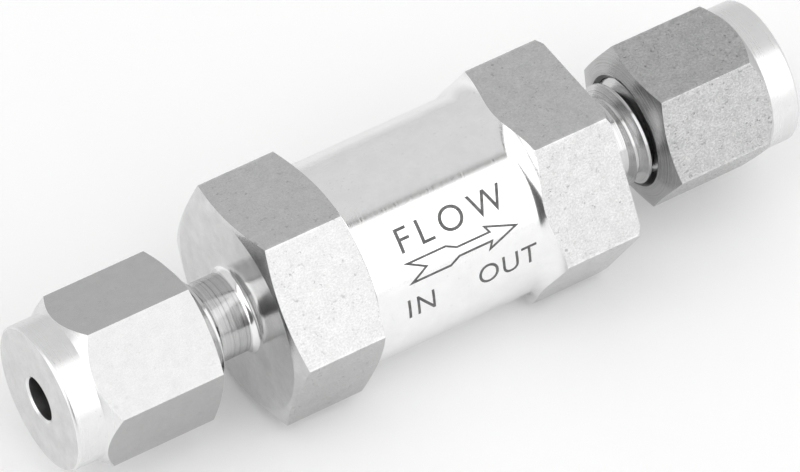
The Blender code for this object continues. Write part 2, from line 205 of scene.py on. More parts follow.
class Graph:
    """A material's node tree, built one node at a time on the piece's own coordinates."""

    def __init__(self, name: str) -> None:
        """Starts a material.

        Args:
            name: The material's name.
        """
        self.material = bpy.data.materials.new(name)
        self.material.use_nodes = True
        self.tree = self.material.node_tree
        self.tree.nodes.clear()
        self.place = self.add("ShaderNodeTexCoord").outputs["Object"]

    def add(self, kind: str, inputs: dict[str | int, NodeInput] | None = None,
            **settings: Any) -> bpy.types.Node:
        """Adds a node.

        Args:
            kind: The node's type.
            inputs: Values or sockets for its inputs, by name or number.
            settings: The node's own properties.

        Returns:
            The node.
        """
        node = self.tree.nodes.new(kind)
        for name, value in settings.items():
            setattr(node, name, value)
        for key, value in (inputs or {}).items():
            if isinstance(value, Socket):
                self.tree.links.new(value, node.inputs[key])
            else:
                node.inputs[key].default_value = value
        return node

    def math(self, operation: str, first: NodeInput, second: NodeInput = 0.0) -> Socket:
        """An operation on one or two numbers or sockets."""
        return self.add("ShaderNodeMath", {0: first, 1: second}, operation=operation).outputs[0]

    def span(self, value: NodeInput, low: float, high: float, to_low: float, to_high: float) -> Socket:
        """A number moved from one range to another, and kept inside it."""
        inputs = {"Value": value, "From Min": low, "From Max": high, "To Min": to_low, "To Max": to_high}
        return self.add("ShaderNodeMapRange", inputs).outputs["Result"]

    def noise(self, pattern: Pattern) -> Socket:
        """The raw values of a noise.

        Args:
            pattern: The noise.

        Returns:
            Its values, about one half.
        """
        where = self.place
        if pattern.stretch != 1.0:
            scale = (pattern.stretch, 1.0, 1.0)
            where = self.add("ShaderNodeMapping", {"Vector": where, "Scale": scale}).outputs["Vector"]
        inputs = {"Vector": where, "Scale": pattern.per_metre, "Detail": pattern.detail,
                  "Roughness": pattern.rough}
        return self.add("ShaderNodeTexNoise", inputs).outputs["Fac"]

    def share(self, pattern: Pattern, least: float = 0.0, most: float = 1.0) -> Socket:
        """How much of a noise's feature is at a place, between two amounts."""
        return self.span(self.noise(pattern), pattern.low, pattern.high, least, most)

    def lathe_place(self) -> tuple[Socket, Socket]:
        """Where a point lies on a turned piece.

        Returns:
            Its place along the flow axis and its distance from the axis.
        """
        split = self.add("ShaderNodeSeparateXYZ", {"Vector": self.place}).outputs
        across = self.add("ShaderNodeCombineXYZ", {"Y": split["Y"], "Z": split["Z"]}).outputs["Vector"]
        radius = self.add("ShaderNodeVectorMath", {0: across}, operation="LENGTH").outputs["Value"]
        return split["X"], radius

    def mix(self, share: NodeInput, first: NodeInput, second: NodeInput) -> Socket:
        """A colour between two others."""
        return self.add("ShaderNodeMix", {0: share, 6: first, 7: second}, data_type="RGBA").outputs[2]

    def scaled(self, colour: Socket, factor: float) -> Socket:
        """A colour made lighter or darker."""
        inputs = {0: colour, "Scale": factor}
        return self.add("ShaderNodeVectorMath", inputs, operation="SCALE").outputs["Vector"]

    def bump(self, height: Socket, strength: float, depth: float) -> Socket:
        """A normal that follows a height."""
        inputs = {"Height": height, "Strength": strength, "Distance": depth}
        return self.add("ShaderNodeBump", inputs).outputs["Normal"]

    def surface(self, inputs: dict[str, NodeInput]) -> Material:
        """Ends the material with a Principled shader.

        Args:
            inputs: The shader's values and sockets.

        Returns:
            The material.
        """
        shader = self.add("ShaderNodeBsdfPrincipled", inputs)
        output = self.add("ShaderNodeOutputMaterial")
        self.tree.links.new(shader.outputs["BSDF"], output.inputs["Surface"])
        return self.material

    def steel(self, tone: Socket, rough: Socket, tint: float, normal: Socket) -> Material:
        """Ends the material as bare metal, with a grey tint where it is seen at a grazing angle."""
        return self.surface({"Base Color": tone, "Metallic": 1.0, "Roughness": rough,
                             "Specular Tint": grey(tint), "Normal": normal})


@dataclass(frozen=True)
class TurnedSteel:
    """Stainless steel off the lathe: fine rings round the axis, a soft change of tone, and dark streaks
    along the rings that are painted shade.
    """

    name: str
    tone: float = 0.92
    brightest: float = 0.97
    roughness: float = 0.16
    smoother: float = 0.8
    rougher: float = 1.3
    rings_per_metre: float = 7000.0
    ring_detail: float = 5.0
    ring_rough: float = 0.65
    ring_depth: float = 0.0012 * MM
    clouds: Pattern = Pattern(700.0, 6.0, 0.65, low=0.32, high=0.68)
    smudge: float = 0.03
    specks: Pattern = Pattern(5200.0, 2.0, low=0.66, high=0.76)
    speck_share: float = 0.30
    speck_shade: float = 0.6
    # Painted shade streaks along the rings: their strength, where they are full and none, their darkness
    # and their patches.
    painted_shade_streaks: float = 0.0
    streak_full: float = 0.36
    streak_none: float = 0.50
    streak_shade: float = 0.35
    streak_patches: Pattern = Pattern(450.0, 2.0, low=0.38, high=0.62)
    least_patch: float = 0.25
    grazing_tint: float = 0.85

    def material(self) -> Material:
        """Makes the finish.

        Returns:
            A new material.
        """
        graph = Graph(self.name)
        along, radius = graph.lathe_place()
        inputs = {"W": graph.math("ADD", along, radius), "Scale": self.rings_per_metre,
                  "Detail": self.ring_detail, "Roughness": self.ring_rough}
        rings = graph.add("ShaderNodeTexNoise", inputs, noise_dimensions="1D").outputs["Fac"]
        dark, light = self.tone * (1 - self.smudge), min(self.brightest, self.tone * (1 + self.smudge))
        tone = graph.mix(graph.share(self.clouds), grey(dark), grey(light))
        specks = graph.share(self.specks, 0.0, self.speck_share)
        tone = graph.mix(specks, tone, grey(self.tone * self.speck_shade))
        # Painted shade: dark lines along the rings where the ring noise is low, standing in for the shaded
        # bands along a thread's neck.
        painted_shade_streaks = graph.span(rings, self.streak_full, self.streak_none, self.painted_shade_streaks, 0.0)
        painted_shade_streaks = graph.math("MULTIPLY", painted_shade_streaks, graph.share(self.streak_patches, self.least_patch))
        tone = graph.mix(painted_shade_streaks, tone, grey(self.tone * self.streak_shade))
        rough = graph.span(rings, NOISE_LOW, NOISE_HIGH, self.roughness * self.smoother,
                           self.roughness * self.rougher)
        return graph.steel(tone, rough, self.grazing_tint, graph.bump(rings, 1.0, self.ring_depth))


@dataclass(frozen=True)
class BarSteel:
    """Bright-drawn hexagon bar: satin with fine grain, and pits, scuffs and bright edges as it wears."""

    name: str
    tone: float = 0.58
    brightest: float = 0.95
    roughness: float = 0.23
    smoother: float = 0.88
    rougher: float = 1.2
    wear: float = 0.3
    grains_per_metre: float = 12000.0
    grain_depth: float = 0.0016 * MM
    lines: Pattern = Pattern(7000.0, 3.0, 0.6, low=0.60, high=0.72, stretch=0.10)
    line_tone: float = 1.2
    line_height: float = 0.3
    mottle: Pattern = Pattern(1100.0, 4.0, 0.6, low=0.35, high=0.65)
    dots: Pattern = Pattern(4700.0, 2.0, low=0.65, high=0.73)
    dot_tone: float = 1.5
    pits: Pattern = Pattern(3400.0, 2.0, low=0.63, high=0.72, stretch=0.8)
    pit_patches: Pattern = Pattern(330.0, 3.0, 0.6, low=0.45, high=0.62)
    least_patch: float = 0.15
    pit_tone: float = 0.20
    pit_rough: float = 0.2
    pit_depth: float = 1.6
    swirls: Pattern = Pattern(2300.0, 1.0, low=0.69, high=0.80)
    curl_full: float = 0.004
    curl_none: float = 0.016
    curl_patches: Pattern = Pattern(1500.0, 2.0, low=0.60, high=0.66)
    corner_radius: float = 9.14 * MM
    worn_depth: float = 0.15 * MM
    edge_rub: float = 0.55
    edge_tone: float = 1.4
    edge_falloff: float = 2.5
    edge_low: float = 0.36
    edge_high: float = 0.60
    least_rub: float = 0.1
    grazing_tint: float = 1.0

    def damage(self, graph: Graph) -> Socket:
        """Pits in patches, rare thin curls, and nicks.

        Args:
            graph: The material.

        Returns:
            How much of the bright skin is gone.
        """
        curl_share = min(1.0, 1.6 * self.wear)
        nick_share = min(0.8, 1.2 * self.wear)
        patches = graph.share(self.pit_patches, self.least_patch)
        pits = graph.math("MULTIPLY", graph.share(self.pits), patches)
        pits = graph.math("MULTIPLY", pits, self.wear)
        swirls = graph.noise(self.swirls)
        middle = graph.math("ABSOLUTE", graph.math("SUBTRACT", swirls, 0.5))
        curls = graph.span(middle, self.curl_full, self.curl_none, 1.0, 0.0)
        curls = graph.math("MULTIPLY", curls, graph.share(self.curl_patches))
        curls = graph.math("MULTIPLY", curls, curl_share)
        nicks = graph.span(swirls, self.swirls.low, self.swirls.high, 0.0, nick_share)
        return graph.math("MAXIMUM", graph.math("MAXIMUM", pits, curls), nicks)

    def rub(self, graph: Graph, mottle: Socket) -> Socket:
        """Bright metal along the bar's corners.

        Args:
            graph: The material.
            mottle: The noise that breaks it up.

        Returns:
            How far the edge is rubbed bright.
        """
        _, radius = graph.lathe_place()
        edge = graph.span(radius, self.corner_radius - self.worn_depth, self.corner_radius, 0.0, 1.0)
        broken = graph.span(mottle, self.edge_low, self.edge_high, self.least_rub, 1.0)
        rub = graph.math("MULTIPLY", graph.math("POWER", edge, self.edge_falloff), broken)
        return graph.math("MULTIPLY", rub, self.edge_rub)

    def material(self) -> Material:
        """Makes the finish.

        Returns:
            A new material.
        """
        graph = Graph(self.name)
        spread = 0.02 + 0.05 * self.wear
        bite = 0.015 + 0.16 * self.wear
        line_share = 0.10 + 0.25 * self.wear
        dot_share = 0.55 * self.wear
        relief = 0.15 + 0.5 * self.wear
        fine = Pattern(self.grains_per_metre, 2.0, 0.6, low=0.34, high=0.66, stretch=0.8)
        grain, lines, mottle = (graph.noise(pattern) for pattern in (fine, self.lines, self.mottle))
        damage = self.damage(graph)
        tone = graph.mix(graph.span(mottle, self.mottle.low, self.mottle.high, 0.0, 1.0),
                         grey(self.tone * (1 - spread)), grey(self.tone * (1 + spread)))
        tone = graph.mix(graph.span(grain, fine.low, fine.high, 0.0, 1.0),
                         graph.scaled(tone, 1 + bite), graph.scaled(tone, 1 - bite))
        drawn = graph.span(lines, self.lines.low, self.lines.high, 0.0, line_share)
        tone = graph.mix(drawn, tone, grey(self.tone * self.line_tone))
        dots = graph.share(self.dots, 0.0, dot_share)
        tone = graph.mix(dots, tone, grey(min(self.brightest, self.tone * self.dot_tone)))
        tone = graph.mix(damage, tone, grey(self.pit_tone))
        rub = self.rub(graph, mottle)
        tone = graph.mix(rub, tone, grey(min(self.brightest, self.tone * self.edge_tone)))
        rough = graph.span(grain, NOISE_LOW, NOISE_HIGH, self.roughness * self.smoother,
                           self.roughness * self.rougher)
        rough = graph.math("ADD", rough, graph.math("MULTIPLY", damage, self.pit_rough))
        height = graph.math("SUBTRACT", grain, graph.math("MULTIPLY", damage, self.pit_depth))
        height = graph.math("ADD", height, graph.math("MULTIPLY", lines, self.line_height))
        return graph.steel(tone, rough, self.grazing_tint, graph.bump(height, relief, self.grain_depth))


@dataclass(frozen=True)
class SealRubber:
    """Moulded elastomer, nearly black, with a fine bloom."""

    name: str
    tone: tuple[float, float, float] = (0.045, 0.035, 0.03)
    bloom: Pattern = Pattern(900.0, 4.0)
    bloom_dark: float = 0.8
    bloom_light: float = 1.5
    smoothest: float = 0.45
    roughest: float = 0.65
    skin: Pattern = Pattern(9000.0, 3.0)
    skin_relief: float = 0.5
    skin_depth: float = 0.004 * MM

    def material(self) -> Material:
        """Makes the finish.

        Returns:
            A new material.
        """
        graph = Graph(self.name)
        bloom = graph.noise(self.bloom)
        dark, light = ((*(part * factor for part in self.tone), 1.0)
                       for factor in (self.bloom_dark, self.bloom_light))
        rough = graph.span(bloom, NOISE_LOW, NOISE_HIGH, self.smoothest, self.roughest)
        normal = graph.bump(graph.noise(self.skin), self.skin_relief, self.skin_depth)
        tone = graph.mix(bloom, dark, light)
        return graph.surface({"Base Color": tone, "Roughness": rough, "Normal": normal})


@dataclass(frozen=True)
class EtchedMark:
    """Dark oxide of an electro-etched mark, thinner here and there."""

    name: str
    tone: float = 0.10
    worn_tone: float = 0.22
    wear: Pattern = Pattern(2600.0, 4.0, 0.7, low=0.40, high=0.72)
    metallic: float = 0.3
    smoothest: float = 0.5
    roughest: float = 0.7
    relief: float = 0.4
    depth: float = 0.004 * MM

    def material(self) -> Material:
        """Makes the finish.

        Returns:
            A new material.
        """
        graph = Graph(self.name)
        wear = graph.noise(self.wear)
        tone = graph.mix(graph.span(wear, self.wear.low, self.wear.high, 0.0, 1.0), grey(self.tone),
                         grey(self.worn_tone))
        rough = graph.span(wear, NOISE_LOW, NOISE_HIGH, self.smoothest, self.roughest)
        return graph.surface({"Base Color": tone, "Metallic": self.metallic, "Roughness": rough,
                              "Normal": graph.bump(wear, self.relief, self.depth)})


@dataclass(frozen=True)
class PaleFloor:
    """Matt white studio board, with painted shade that greys it towards the back so that the metal reflects
    it darker there, and lifted to white where it is seen or mirrored.
    """

    name: str
    tone: float = 0.88
    fibre: Pattern = Pattern(1500.0, 3.0)
    fibre_shade: float = 0.995
    back_shade_tone: float = 0.70
    bright_reach: float = 0.045
    grey_reach: float = 0.11
    glow: float = 0.11
    roughness: float = 0.9
    shine: float = 0.2

    def material(self) -> Material:
        """Makes the finish.

        Returns:
            A new material.
        """
        graph = Graph(self.name)
        to_back = graph.add("ShaderNodeSeparateXYZ", {"Vector": graph.place}).outputs["Y"]
        # Painted shade: past the bright reach the board greys towards the back, darkening what the metal
        # reflects there.
        back_shade = graph.span(to_back, self.bright_reach, self.grey_reach, 0.0, 1.0)
        tone = graph.mix(graph.noise(self.fibre), grey(self.tone * self.fibre_shade), grey(self.tone))
        tone = graph.mix(back_shade, tone, grey(self.back_shade_tone))
        path = graph.add("ShaderNodeLightPath").outputs
        seen = graph.math("ADD", path["Is Camera Ray"], path["Is Glossy Ray"])
        seen = graph.math("MINIMUM", graph.math("ADD", seen, path["Is Transmission Ray"]), 1.0)
        glow = graph.math("MULTIPLY", seen, self.glow)
        return graph.surface({"Base Color": tone, "Roughness": self.roughness,
                              "Specular IOR Level": self.shine, "Emission Color": grey(1.0),
                              "Emission Strength": glow})


class Finishes:
    """Every finish of the valve, made once."""

    def __init__(self) -> None:
        """Makes the materials."""
        nut_corner = 6.39 * MM
        self.turned = TurnedSteel("turned_steel").material()
        self.collar = TurnedSteel("collar_steel", tone=0.84, roughness=0.30).material()
        self.bars = {
            Wear.CLEAN: BarSteel("clean_bar_steel", wear=0.10, corner_radius=nut_corner, edge_rub=0.12,
                                 grazing_tint=0.6).material(),
            Wear.HANDLED: BarSteel("handled_bar_steel", tone=0.60, wear=0.34, grains_per_metre=8500.0,
                                   grain_depth=0.006 * MM, grazing_tint=0.8).material(),
            Wear.MARKED: BarSteel("marked_bar_steel", tone=0.595, wear=0.40, grains_per_metre=8500.0,
                                  grain_depth=0.006 * MM).material(),
            Wear.SCUFFED: BarSteel("scuffed_bar_steel", tone=0.50, roughness=0.27, wear=0.85,
                                   grains_per_metre=7500.0, grain_depth=0.017 * MM,
                                   corner_radius=nut_corner).material(),
        }
        self.thread = TurnedSteel("cut_thread_steel", tone=0.66, roughness=0.17, ring_depth=0.0032 * MM,
                                  painted_shade_streaks=0.55).material()
        self.faced = TurnedSteel("faced_steel", tone=0.66, roughness=0.15, smudge=0.10,
                                 grazing_tint=1.0).material()
        # The drilled steel's low tone is painted shade: it darkens the bores and the inward faces inside a
        # nut's mouth as if shade lay in them.
        self.drilled = TurnedSteel("drilled_steel_painted_dark", tone=0.20, roughness=0.40,
                                   ring_depth=0.003 * MM).material()
        # The mouth steel's low tone is painted shade: it stands in for the dark surroundings that a nut's
        # mouth reflects.
        self.mouth = TurnedSteel("mouth_steel_painted_dark", tone=0.50, roughness=0.20, ring_depth=0.001 * MM,
                                 painted_shade_streaks=0.55).material()
        self.wire = TurnedSteel("spring_wire", tone=0.62, roughness=0.25, ring_depth=0.0004 * MM).material()
        self.rubber = SealRubber("seal_rubber").material()
        self.mark = EtchedMark("etched_mark").material()

    def steel(self, wear: Wear) -> list[Material]:
        """Materials in the order of Surface, with the flats worn as given."""
        return [self.turned, self.bars[wear], self.thread, self.faced, self.drilled, self.mouth]

    def nut_steel(self, wear: Wear) -> list[Material]:
        """The same for a nut, whose collar and chamfers are less finely turned."""
        return [self.collar, *self.steel(wear)[1:]]


class Workshop:
    """Ways of making the pieces: turning, milling, thread cutting and drilling."""

    @staticmethod
    def whole(shape: Shape) -> list[Any]:
        """All points, edges and faces of a shape."""
        return shape.verts[:] + shape.edges[:] + shape.faces[:]

    @staticmethod
    def move(shape: Shape, matrix: Matrix) -> None:
        """Moves or turns a whole shape in place."""
        bmesh.ops.transform(shape, matrix=matrix, verts=shape.verts)

    @staticmethod
    def mesh(name: str, shape: Shape) -> bpy.types.Mesh:
        """Makes a mesh of a shape.

        Args:
            name: The mesh's name.
            shape: The shape, used up.

        Returns:
            The mesh.
        """
        mesh = bpy.data.meshes.new(name)
        shape.to_mesh(mesh)
        shape.free()
        return mesh

    @staticmethod
    def link(name: str, data: bpy.types.ID) -> Piece:
        """Puts an object at the origin of the scene.

        Args:
            name: The object's name.
            data: Its mesh, text, lamp or camera.

        Returns:
            The object.
        """
        made = bpy.data.objects.new(name, data)
        bpy.context.scene.collection.objects.link(made)
        return made

    @staticmethod
    def result(made: Piece) -> Shape:
        """What an object's text or modifiers come to.

        Args:
            made: The object.

        Returns:
            A new shape.
        """
        bpy.context.view_layer.update()
        mesh = bpy.data.meshes.new_from_object(made.evaluated_get(bpy.context.evaluated_depsgraph_get()))
        shape = bmesh.new()
        shape.from_mesh(mesh)
        bpy.data.meshes.remove(mesh)
        return shape

    @staticmethod
    def circle(x: float, radius: float, cord: float, steps: int) -> list[Point]:
        """Points of a round section, as of a wire or a seal.

        Args:
            x: Place of its middle along the axis.
            radius: Distance of its middle from the axis.
            cord: Its own radius.
            steps: Number of points.

        Returns:
            Points of (place along the axis, radius).
        """
        angles = [2 * math.pi * step / steps for step in range(steps)]
        return [(x + cord * math.cos(angle), radius + cord * math.sin(angle)) for angle in angles]

    @staticmethod
    def rounded(outline: list[Corner], closed: bool) -> list[Point]:
        """Replaces the eased corners of an outline by arcs.

        Args:
            outline: The outline's corners in order.
            closed: Whether the last corner joins the first.

        Returns:
            Points of (place along the axis, radius).
        """
        points: list[Point] = []
        count = len(outline)
        for index, corner in enumerate(outline):
            here = Vector((corner.x, corner.radius))
            at_end = not closed and index in (0, count - 1)
            if corner.ease == 0.0 or at_end:
                points.append((here.x, here.y))
                continue
            before, after = outline[index - 1], outline[(index + 1) % count]
            back = (Vector((before.x, before.radius)) - here).normalized()
            ahead = (Vector((after.x, after.radius)) - here).normalized()
            half = back.angle(ahead) / 2
            centre = here + (back + ahead).normalized() * corner.ease / math.sin(half)
            reach = corner.ease / math.tan(half)
            start, end = here + back * reach - centre, here + ahead * reach - centre
            turn = -start.angle_signed(end)
            steps = max(LEAST_ARC_STEPS, round(corner.ease / ARC_STEP))
            for step in range(steps + 1):
                spoke = Matrix.Rotation(turn * step / steps, 2) @ start
                points.append((centre.x + spoke.x, centre.y + spoke.y))
        return points

    @staticmethod
    def turn(outline: list[Corner], segments: int, closed: bool = True) -> Shape:
        """Spins an outline round the flow axis.

        Args:
            outline: The outline's corners; an open outline starts and ends on the axis.
            segments: Facets round the axis.
            closed: Whether the outline is a loop, as for a piece with a bore.

        Returns:
            A closed shape.
        """
        shape = bmesh.new()
        points = Workshop.rounded(outline, closed)
        verts = [shape.verts.new((x, radius, 0.0)) for x, radius in points]
        followers = verts[1:] + verts[:1] if closed else verts[1:]
        edges = [shape.edges.new(pair) for pair in zip(verts, followers)]
        bmesh.ops.spin(shape, geom=verts + edges, axis=(1, 0, 0), cent=(0, 0, 0), angle=2 * math.pi,
                       steps=segments, use_merge=True)
        bmesh.ops.remove_doubles(shape, verts=shape.verts, dist=WELD)
        bmesh.ops.recalc_face_normals(shape, faces=shape.faces)
        return shape

    @staticmethod
    def face_off(shape: Shape, drilled_radius: float, mouth_depth: float | None = None) -> None:
        """Gives a turned shape's end faces, its drilled bore and its mouth their own surfaces; the bore and
        the mouth take steels painted dark as shade.

        Args:
            shape: A turned shape, changed in place.
            drilled_radius: Radius inside which every face is drilled.
            mouth_depth: How far in from zero the faces that look out of the mouth lie, for a nut.
        """
        for face in shape.faces:
            reach = max(axis_distance(vert) for vert in face.verts)
            middle = face.calc_center_median()
            inward = face.normal.y * middle.y + face.normal.z * middle.z < -WELD
            to_mouth = mouth_depth is not None and face.normal.x < MOUTH_TILT and middle.x < mouth_depth
            # Bores and the inward faces in a nut's mouth take the drilled steel, whose low tone is painted
            # shade.
            if reach < drilled_radius or (to_mouth and inward):
                face.material_index = Surface.DRILLED
            # Faces that look out of a nut's mouth take the mouth steel, whose low tone is painted shade for
            # what the mouth reflects.
            elif to_mouth and face.normal.x < -MOUTH_TILT:
                face.material_index = Surface.MOUTH
            elif face.normal.x > FACED_TILT:
                face.material_index = Surface.FACED

    @staticmethod
    def mill_hexagon(shape: Shape, across_flats: float) -> None:
        """Cuts six flats, one of them facing down, and leaves the bar's own skin on the broken corners.

        Args:
            shape: A turned shape, cut in place.
            across_flats: Distance between opposite flats.
        """
        for side in range(HEX_SIDES):
            angle = math.radians(HEX_STEP * (side + 0.5))
            outward = Vector((0.0, math.cos(angle), math.sin(angle)))
            cut = bmesh.ops.bisect_plane(shape, geom=Workshop.whole(shape), dist=WELD, clear_outer=True,
                                         plane_co=outward * across_flats / 2, plane_no=outward)
            rim = [part for part in cut["geom_cut"] if isinstance(part, bmesh.types.BMEdge)]
            filled = bmesh.ops.edgeloop_fill(shape, edges=rim)
            for face in filled["faces"]:
                face.material_index = Surface.FLAT
        bmesh.ops.recalc_face_normals(shape, faces=shape.faces)
        for face in shape.faces:
            nearest = min(axis_distance(vert) for vert in face.verts)
            if nearest > across_flats * CORNER_SHARE and abs(face.normal.x) < 1 - FACED_TILT:
                face.material_index = Surface.FLAT

    @staticmethod
    def helix(section: list[Point], stretches: list[tuple[float, float]], steps: int) -> Shape:
        """Sweeps a closed section along a right-hand helix.

        Args:
            section: The section's corners, as (place along the axis, radius).
            stretches: Pitch and number of turns of each stretch of the helix.
            steps: Facets in a turn.

        Returns:
            A closed shape.
        """
        shape = bmesh.new()
        verts = [shape.verts.new((x, radius, 0.0)) for x, radius in section]
        ring: list[Any] = verts + [shape.edges.new(pair) for pair in zip(verts, verts[1:] + verts[:1])]
        for pitch, turns in stretches:
            swept = bmesh.ops.spin(shape, geom=ring, axis=(1, 0, 0), cent=(0, 0, 0),
                                   angle=2 * math.pi * turns, dvec=(pitch / steps, 0.0, 0.0),
                                   steps=round(steps * turns))
            ring = swept["geom_last"]
        bmesh.ops.edgeloop_fill(shape, edges=[edge for edge in shape.edges if edge.is_boundary])
        bmesh.ops.recalc_face_normals(shape, faces=shape.faces)
        return shape

    @staticmethod
    def channels(count: int, circle: float, radius: float, start: float, end: float) -> Shape:
        """Round rods parallel to the axis, spaced evenly on a circle, to be cut out of a piece.

        Args:
            count: Number of rods.
            circle: Radius of the circle.
            radius: Radius of a rod.
            start: Place along the axis where the rods start.
            end: Place along the axis where they end.

        Returns:
            A shape of separate closed rods.
        """
        shape = bmesh.new()
        upright = Matrix.Rotation(math.radians(90), 4, "Y")
        for rod in range(count):
            spoke = Matrix.Rotation(2 * math.pi * (rod + 0.5) / count, 4, "X")
            place = spoke @ Matrix.Translation(((start + end) / 2, circle, 0.0)) @ upright
            bmesh.ops.create_cone(shape, cap_ends=True, segments=SMALL, radius1=radius, radius2=radius,
                                  depth=end - start, matrix=place)
        return shape

    @staticmethod
    def on_a_line(vert: bmesh.types.BMVert) -> bool:
        """Tells whether a point only splits a straight edge between two faces.

        Args:
            vert: The point.

        Returns:
            Whether the shape does without it.
        """
        if len(vert.link_edges) != 2:
            return False
        first, second = (edge.other_vert(vert).co for edge in vert.link_edges)
        nearest, _ = intersect_point_line(vert.co, first, second)
        return (vert.co - nearest).length < STRAIGHT

    @staticmethod
    def carve(shape: Shape, tool: Shape, surface: Surface) -> Shape:
        """Cuts a tool's shape out of a piece.

        Args:
            shape: The piece, used up.
            tool: The tool, used up.
            surface: Material slot of the cut faces.

        Returns:
            The cut piece.
        """
        for face in tool.faces:
            face.material_index = surface
        objects = []
        for name, source in (("carved_piece", shape), ("carving_tool", tool)):
            mesh = Workshop.mesh(name, source)
            for _ in Surface:
                mesh.materials.append(None)
            objects.append(Workshop.link(name, mesh))
        piece, cutter = objects
        modifier = piece.modifiers.new("carve", "BOOLEAN")
        modifier.object = cutter
        modifier.operation = "DIFFERENCE"
        modifier.solver = "EXACT"
        carved = Workshop.result(piece)
        bmesh.ops.remove_doubles(carved, verts=carved.verts, dist=WELD)
        bmesh.ops.dissolve_degenerate(carved, edges=carved.edges, dist=WELD)
        spare = [vert for vert in carved.verts if Workshop.on_a_line(vert)]
        bmesh.ops.dissolve_verts(carved, verts=spare)
        for made in objects:
            mesh = made.data
            bpy.data.objects.remove(made)
            bpy.data.meshes.remove(mesh)
        return carved

    @staticmethod
    def finish(name: str, shape: Shape, materials: Iterable[Material]) -> Piece:
        """Makes an object of a shape, smooth between its sharp edges.

        Args:
            name: The piece's name.
            shape: The shape, used up.
            materials: The piece's materials, in the order of its faces' slots.

        Returns:
            The object, at the origin.
        """
        mesh = Workshop.mesh(name, shape)
        for material in materials:
            mesh.materials.append(material)
        mesh.shade_smooth()
        mesh.set_sharp_from_angle(angle=SMOOTH_ANGLE)
        made = Workshop.link(name, mesh)
        weighting = made.modifiers.new("even_shading", "WEIGHTED_NORMAL")
        weighting.keep_sharp = True
        weighting.weight = 100
        return made

    @staticmethod
    def stand_for(made: Piece, node: str, body: str, slot: str) -> None:
        """Puts a piece in the place of a node.

        Args:
            made: The piece.
            node: The node that it stands for.
            body: The body that it moves with.
            slot: The record's material slot; not used.
        """
        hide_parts(node)
        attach(made, body)
        log.info("%s: %d faces, on %s", made.name, len(made.data.polygons), body)


@dataclass(frozen=True)
class TubeThread:
    """Right-hand thread of the tube ends and their nuts, in the frame of an end that faces +X."""

    radius: float = 3.969 * MM
    pitch: float = 1.27 * MM
    depth: float = 0.72 * MM
    crest_width: float = 0.20 * MM
    root_width: float = 0.20 * MM
    gap: float = 0.06 * MM
    start: float = 15.6 * MM
    inlet_lead: float = 0.2 * MM
    outside_turns: float = 7.0
    nut_start_turns: float = 1.5
    nut_turns: float = 5.0
    nut_minor_radius: float = 3.32 * MM
    cutter_lip: float = 0.02 * MM
    cutter_height: float = 0.2 * MM
    steps: int = 72

    def start_at(self, end: End) -> float:
        """Place along the axis where the groove of an end starts."""
        return self.start - (self.inlet_lead if end is End.INLET else 0.0)

    def cutter(self, half: list[Point], start: float, turns: float) -> Shape:
        """Sweeps the section of a groove.

        Args:
            half: Half of the section, from the groove's floor outwards, about zero.
            start: Place along the axis where the groove starts.
            turns: Number of turns.

        Returns:
            The shape to cut away.
        """
        mirrored = [(-x, radius) for x, radius in half]
        section = [mirrored[0], *half, *reversed(mirrored[1:])]
        placed = [(start + x, radius) for x, radius in section]
        return Workshop.helix(placed, [(self.pitch, turns)], self.steps)

    def outside_cutter(self, end: End) -> Shape:
        """Makes the groove of the thread on a tube end.

        Args:
            end: The end.

        Returns:
            The shape to cut away.
        """
        mouth = (self.pitch - self.crest_width) / 2
        half = [(self.root_width / 2, self.radius - self.depth), (mouth, self.radius + self.cutter_lip),
                (mouth, self.radius + self.cutter_height)]
        return self.cutter(half, self.start_at(end), self.outside_turns)

    def inside_cutter(self, end: End) -> Shape:
        """Makes the groove of the thread in a nut, which takes the ridge of the tube end with a small gap.

        Args:
            end: The end that the nut is on.

        Returns:
            The shape to cut away.
        """
        slope = ((self.pitch - self.crest_width) / 2 - self.root_width / 2) / self.depth
        crest = self.crest_width / 2 + self.gap / 2
        top, bottom = self.radius + self.gap, self.nut_minor_radius - self.cutter_lip
        mouth = crest + (top - bottom) * slope
        half = [(crest, top), (mouth, bottom), (mouth, self.nut_minor_radius - self.cutter_height)]
        start = self.start_at(end) + self.nut_start_turns * self.pitch
        return self.cutter(half, start, self.nut_turns)


@dataclass(frozen=True)
class TubeEnd:
    """Necked and threaded stub of a body, in the frame of an end that faces +X."""

    hex_face: float = 14.0 * MM
    neck_radius: float = 3.0 * MM
    neck_slack: float = 0.98
    neck_length: float = 2.9 * MM
    neck_fillet: float = 0.6 * MM
    stub_length: float = 9.6 * MM
    thread_chamfer: float = 0.45 * MM
    socket_radius: float = 1.6225 * MM
    socket_shoulder: float = 3.2 * MM
    cone_mouth: float = 2.55 * MM
    cone_half_angle: float = math.radians(20)
    bore_radius: float = 1.2 * MM
    edge: float = 0.05 * MM
    thread: TubeThread = TubeThread()

    def outline(self, face_corner: Corner) -> list[Corner]:
        """Outline from the hex face out over the thread and back down the bore.

        Args:
            face_corner: The outer corner of the hex face.

        Returns:
            The outline's corners.
        """
        thread_start = self.hex_face + self.neck_length
        crest = self.thread.radius
        end = self.hex_face + self.stub_length
        cone_end = end - (self.cone_mouth - self.socket_radius) / math.tan(self.cone_half_angle)
        shoulder = self.hex_face + self.socket_shoulder
        return [
            face_corner,
            Corner(self.hex_face, self.neck_radius, self.neck_fillet),
            Corner(thread_start, self.neck_radius, self.edge),
            Corner(thread_start + (crest - self.neck_radius) / 2, crest),
            Corner(end - self.thread_chamfer, crest),
            Corner(end, crest - self.thread_chamfer, self.edge),
            Corner(end, self.cone_mouth, self.edge),
            Corner(cone_end, self.socket_radius),
            Corner(shoulder, self.socket_radius),
            Corner(shoulder, self.bore_radius),
        ]

    def dress(self, shape: Shape) -> None:
        """Gives the neck and the stub the finish of the thread.

        Args:
            shape: A turned body that faces +X, changed in place.
        """
        for face in shape.faces:
            nearest = min(axis_distance(vert) for vert in face.verts)
            beyond = min(vert.co.x for vert in face.verts) > self.hex_face + self.neck_fillet - WELD
            if beyond and nearest > self.neck_radius * self.neck_slack:
                face.material_index = Surface.THREAD


